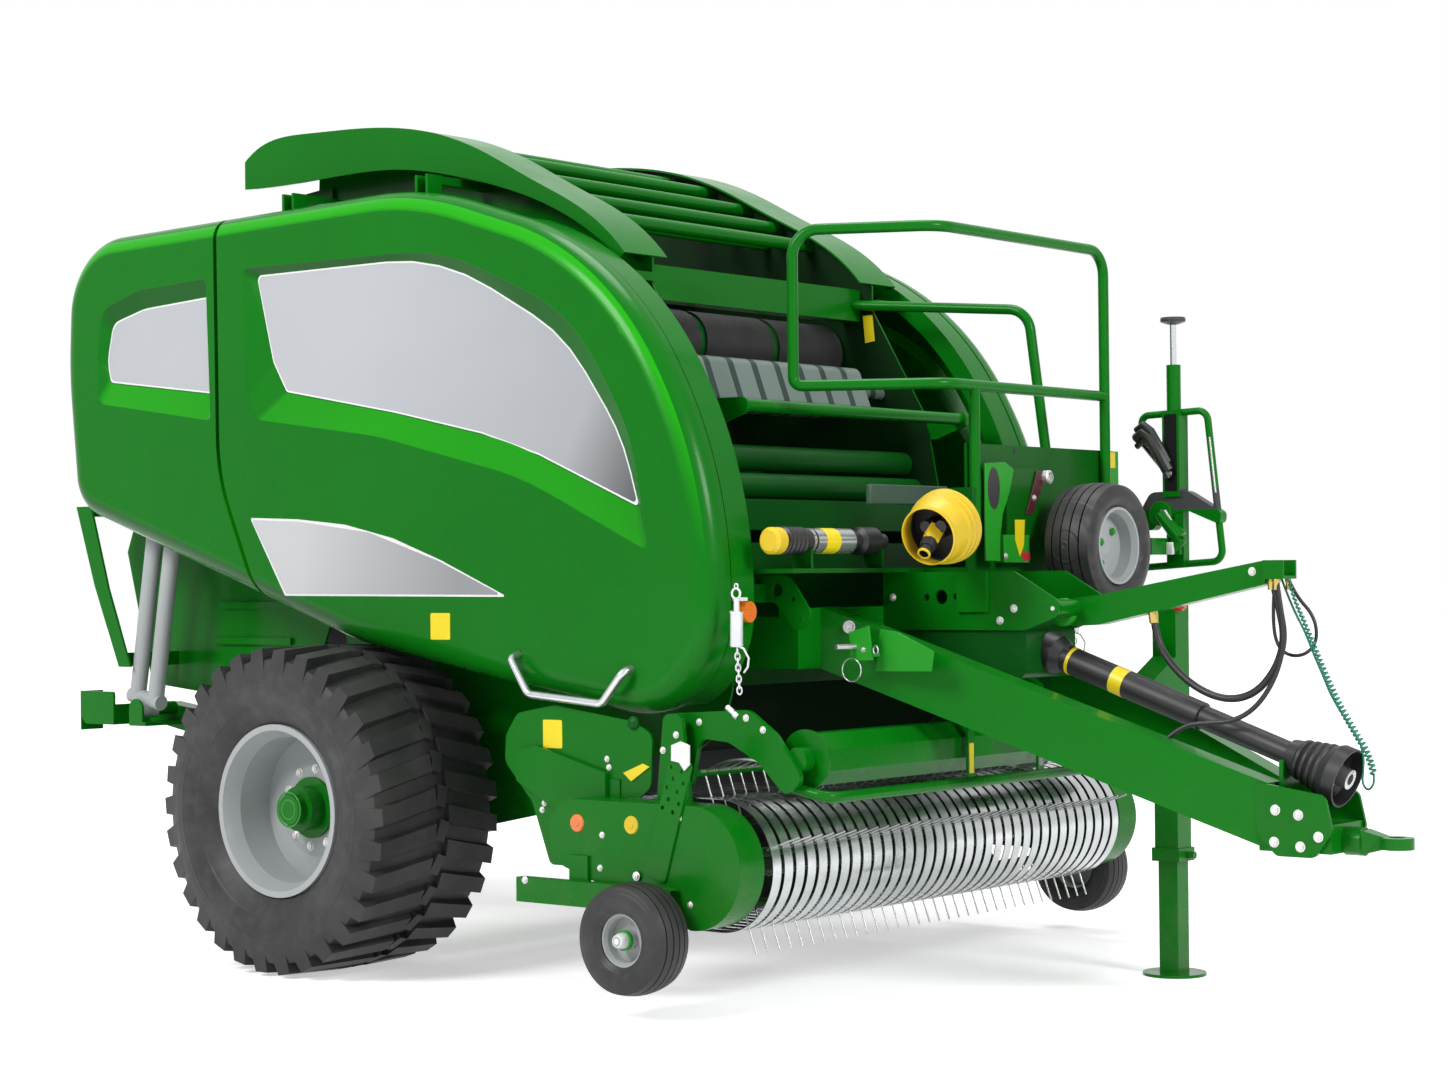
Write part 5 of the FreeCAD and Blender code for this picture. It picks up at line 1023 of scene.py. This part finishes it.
# ---- bolts
def side_bolts(name, body, rows):
    """Bolt heads on both sides.  A row is the face's Y, the heads' size and their places (x, z)."""
    heads = Shape()
    for side in (-1, 1):
        for y, size, places in rows:
            for x, z in places:
                heads.bolt(at(x, side * y, z), (0, side, 0), size)
    heads.piece(name, body, "bare_steel", ZINC, BOLT_EDGE)


def add_bolts():
    """Bolt heads of the drawbar, the pickup and its guard, and the discs on the pickup's shields."""
    side_bolts("frame_bolts", "chassis", (
        (0.119, 0.017, ((3.213, 0.639), (3.291, 0.627), (3.208, 0.54), (3.297, 0.53), (3.358, 0.563))),
        (0.162, 0.014, ((2.235, 1.222), (2.29, 1.262), (1.8, 1.30))),
        (0.03, 0.014, ((3.095, 1.376),)),
        (0.15, 0.02, ((2.44, 1.262),))))
    side_bolts("pickup_bolts", "pickup", (
        (SHIELD_Y, 0.011, ((1.375, 0.55), (1.365, 0.443), (1.742, 0.351), (1.635, 0.343), (1.7, 0.62))),
        (1.23, 0.013, ((1.08, 0.392), (1.42, 0.345), (1.6, 0.38))),
        (COVER_Y, 0.011, ((1.082, 0.674), (1.239, 0.73), (1.292, 0.784), (1.3, 0.757), (1.26, 0.735),
                          (1.152, 0.69), (1.043, 0.66), (1.01, 0.628), (1.0, 0.605))),
        (1.0565, 0.012, ((1.586, 0.871), (1.53, 0.82))),
        (1.188, 0.015, ((1.527, 0.428),))))
    side_bolts("guard_bolts", "wind_guard", (
        (1.0055, 0.012, ((1.64, 0.911), (1.833, 0.929), (1.901, 0.893))),))
    for x, z, name, finish in ((1.267, 0.583, "orange", ORANGE_LENS),
                               (1.5, 0.588, "yellow", YELLOW_PLASTIC)):
        discs = Shape()
        for side in (-1, 1):
            discs.bar(at(x, side * 1.1795, z), at(x, side * 1.184, z), 0.03, 0.027, 28)
            discs.bar(at(x, side * 1.1835, z), at(x, side * 1.187, z), 0.012, 0.01, 18)
        discs.piece("shield_discs_" + name, "pickup", "yellow_plastic", finish)


add_camera()
add_world(0.3)
add_lamp("key", (-1.5, -9.0, 7.5), (0, 0, 1.2), 4.0, 800)
add_lamp("front", (9.0, -1.5, 5.5), (0.5, 0, 1.0), 3.0, 480)
add_lamp("top", (0.0, 1.0, 9.0), (0, 0, 1.0), 4.0, 330)
add_floor()
bpy.context.scene.view_settings.view_transform = "Standard"
add_cords()
add_coil()
dress_nodes()
add_hose_ends()
add_sheets()
add_stickers()
add_wheel_details()
add_bolts()
add_guard_cone()
add_belt_run()
add_carrier()
add_latch()
add_adjuster()
add_front_trim()
add_pickup_trim()
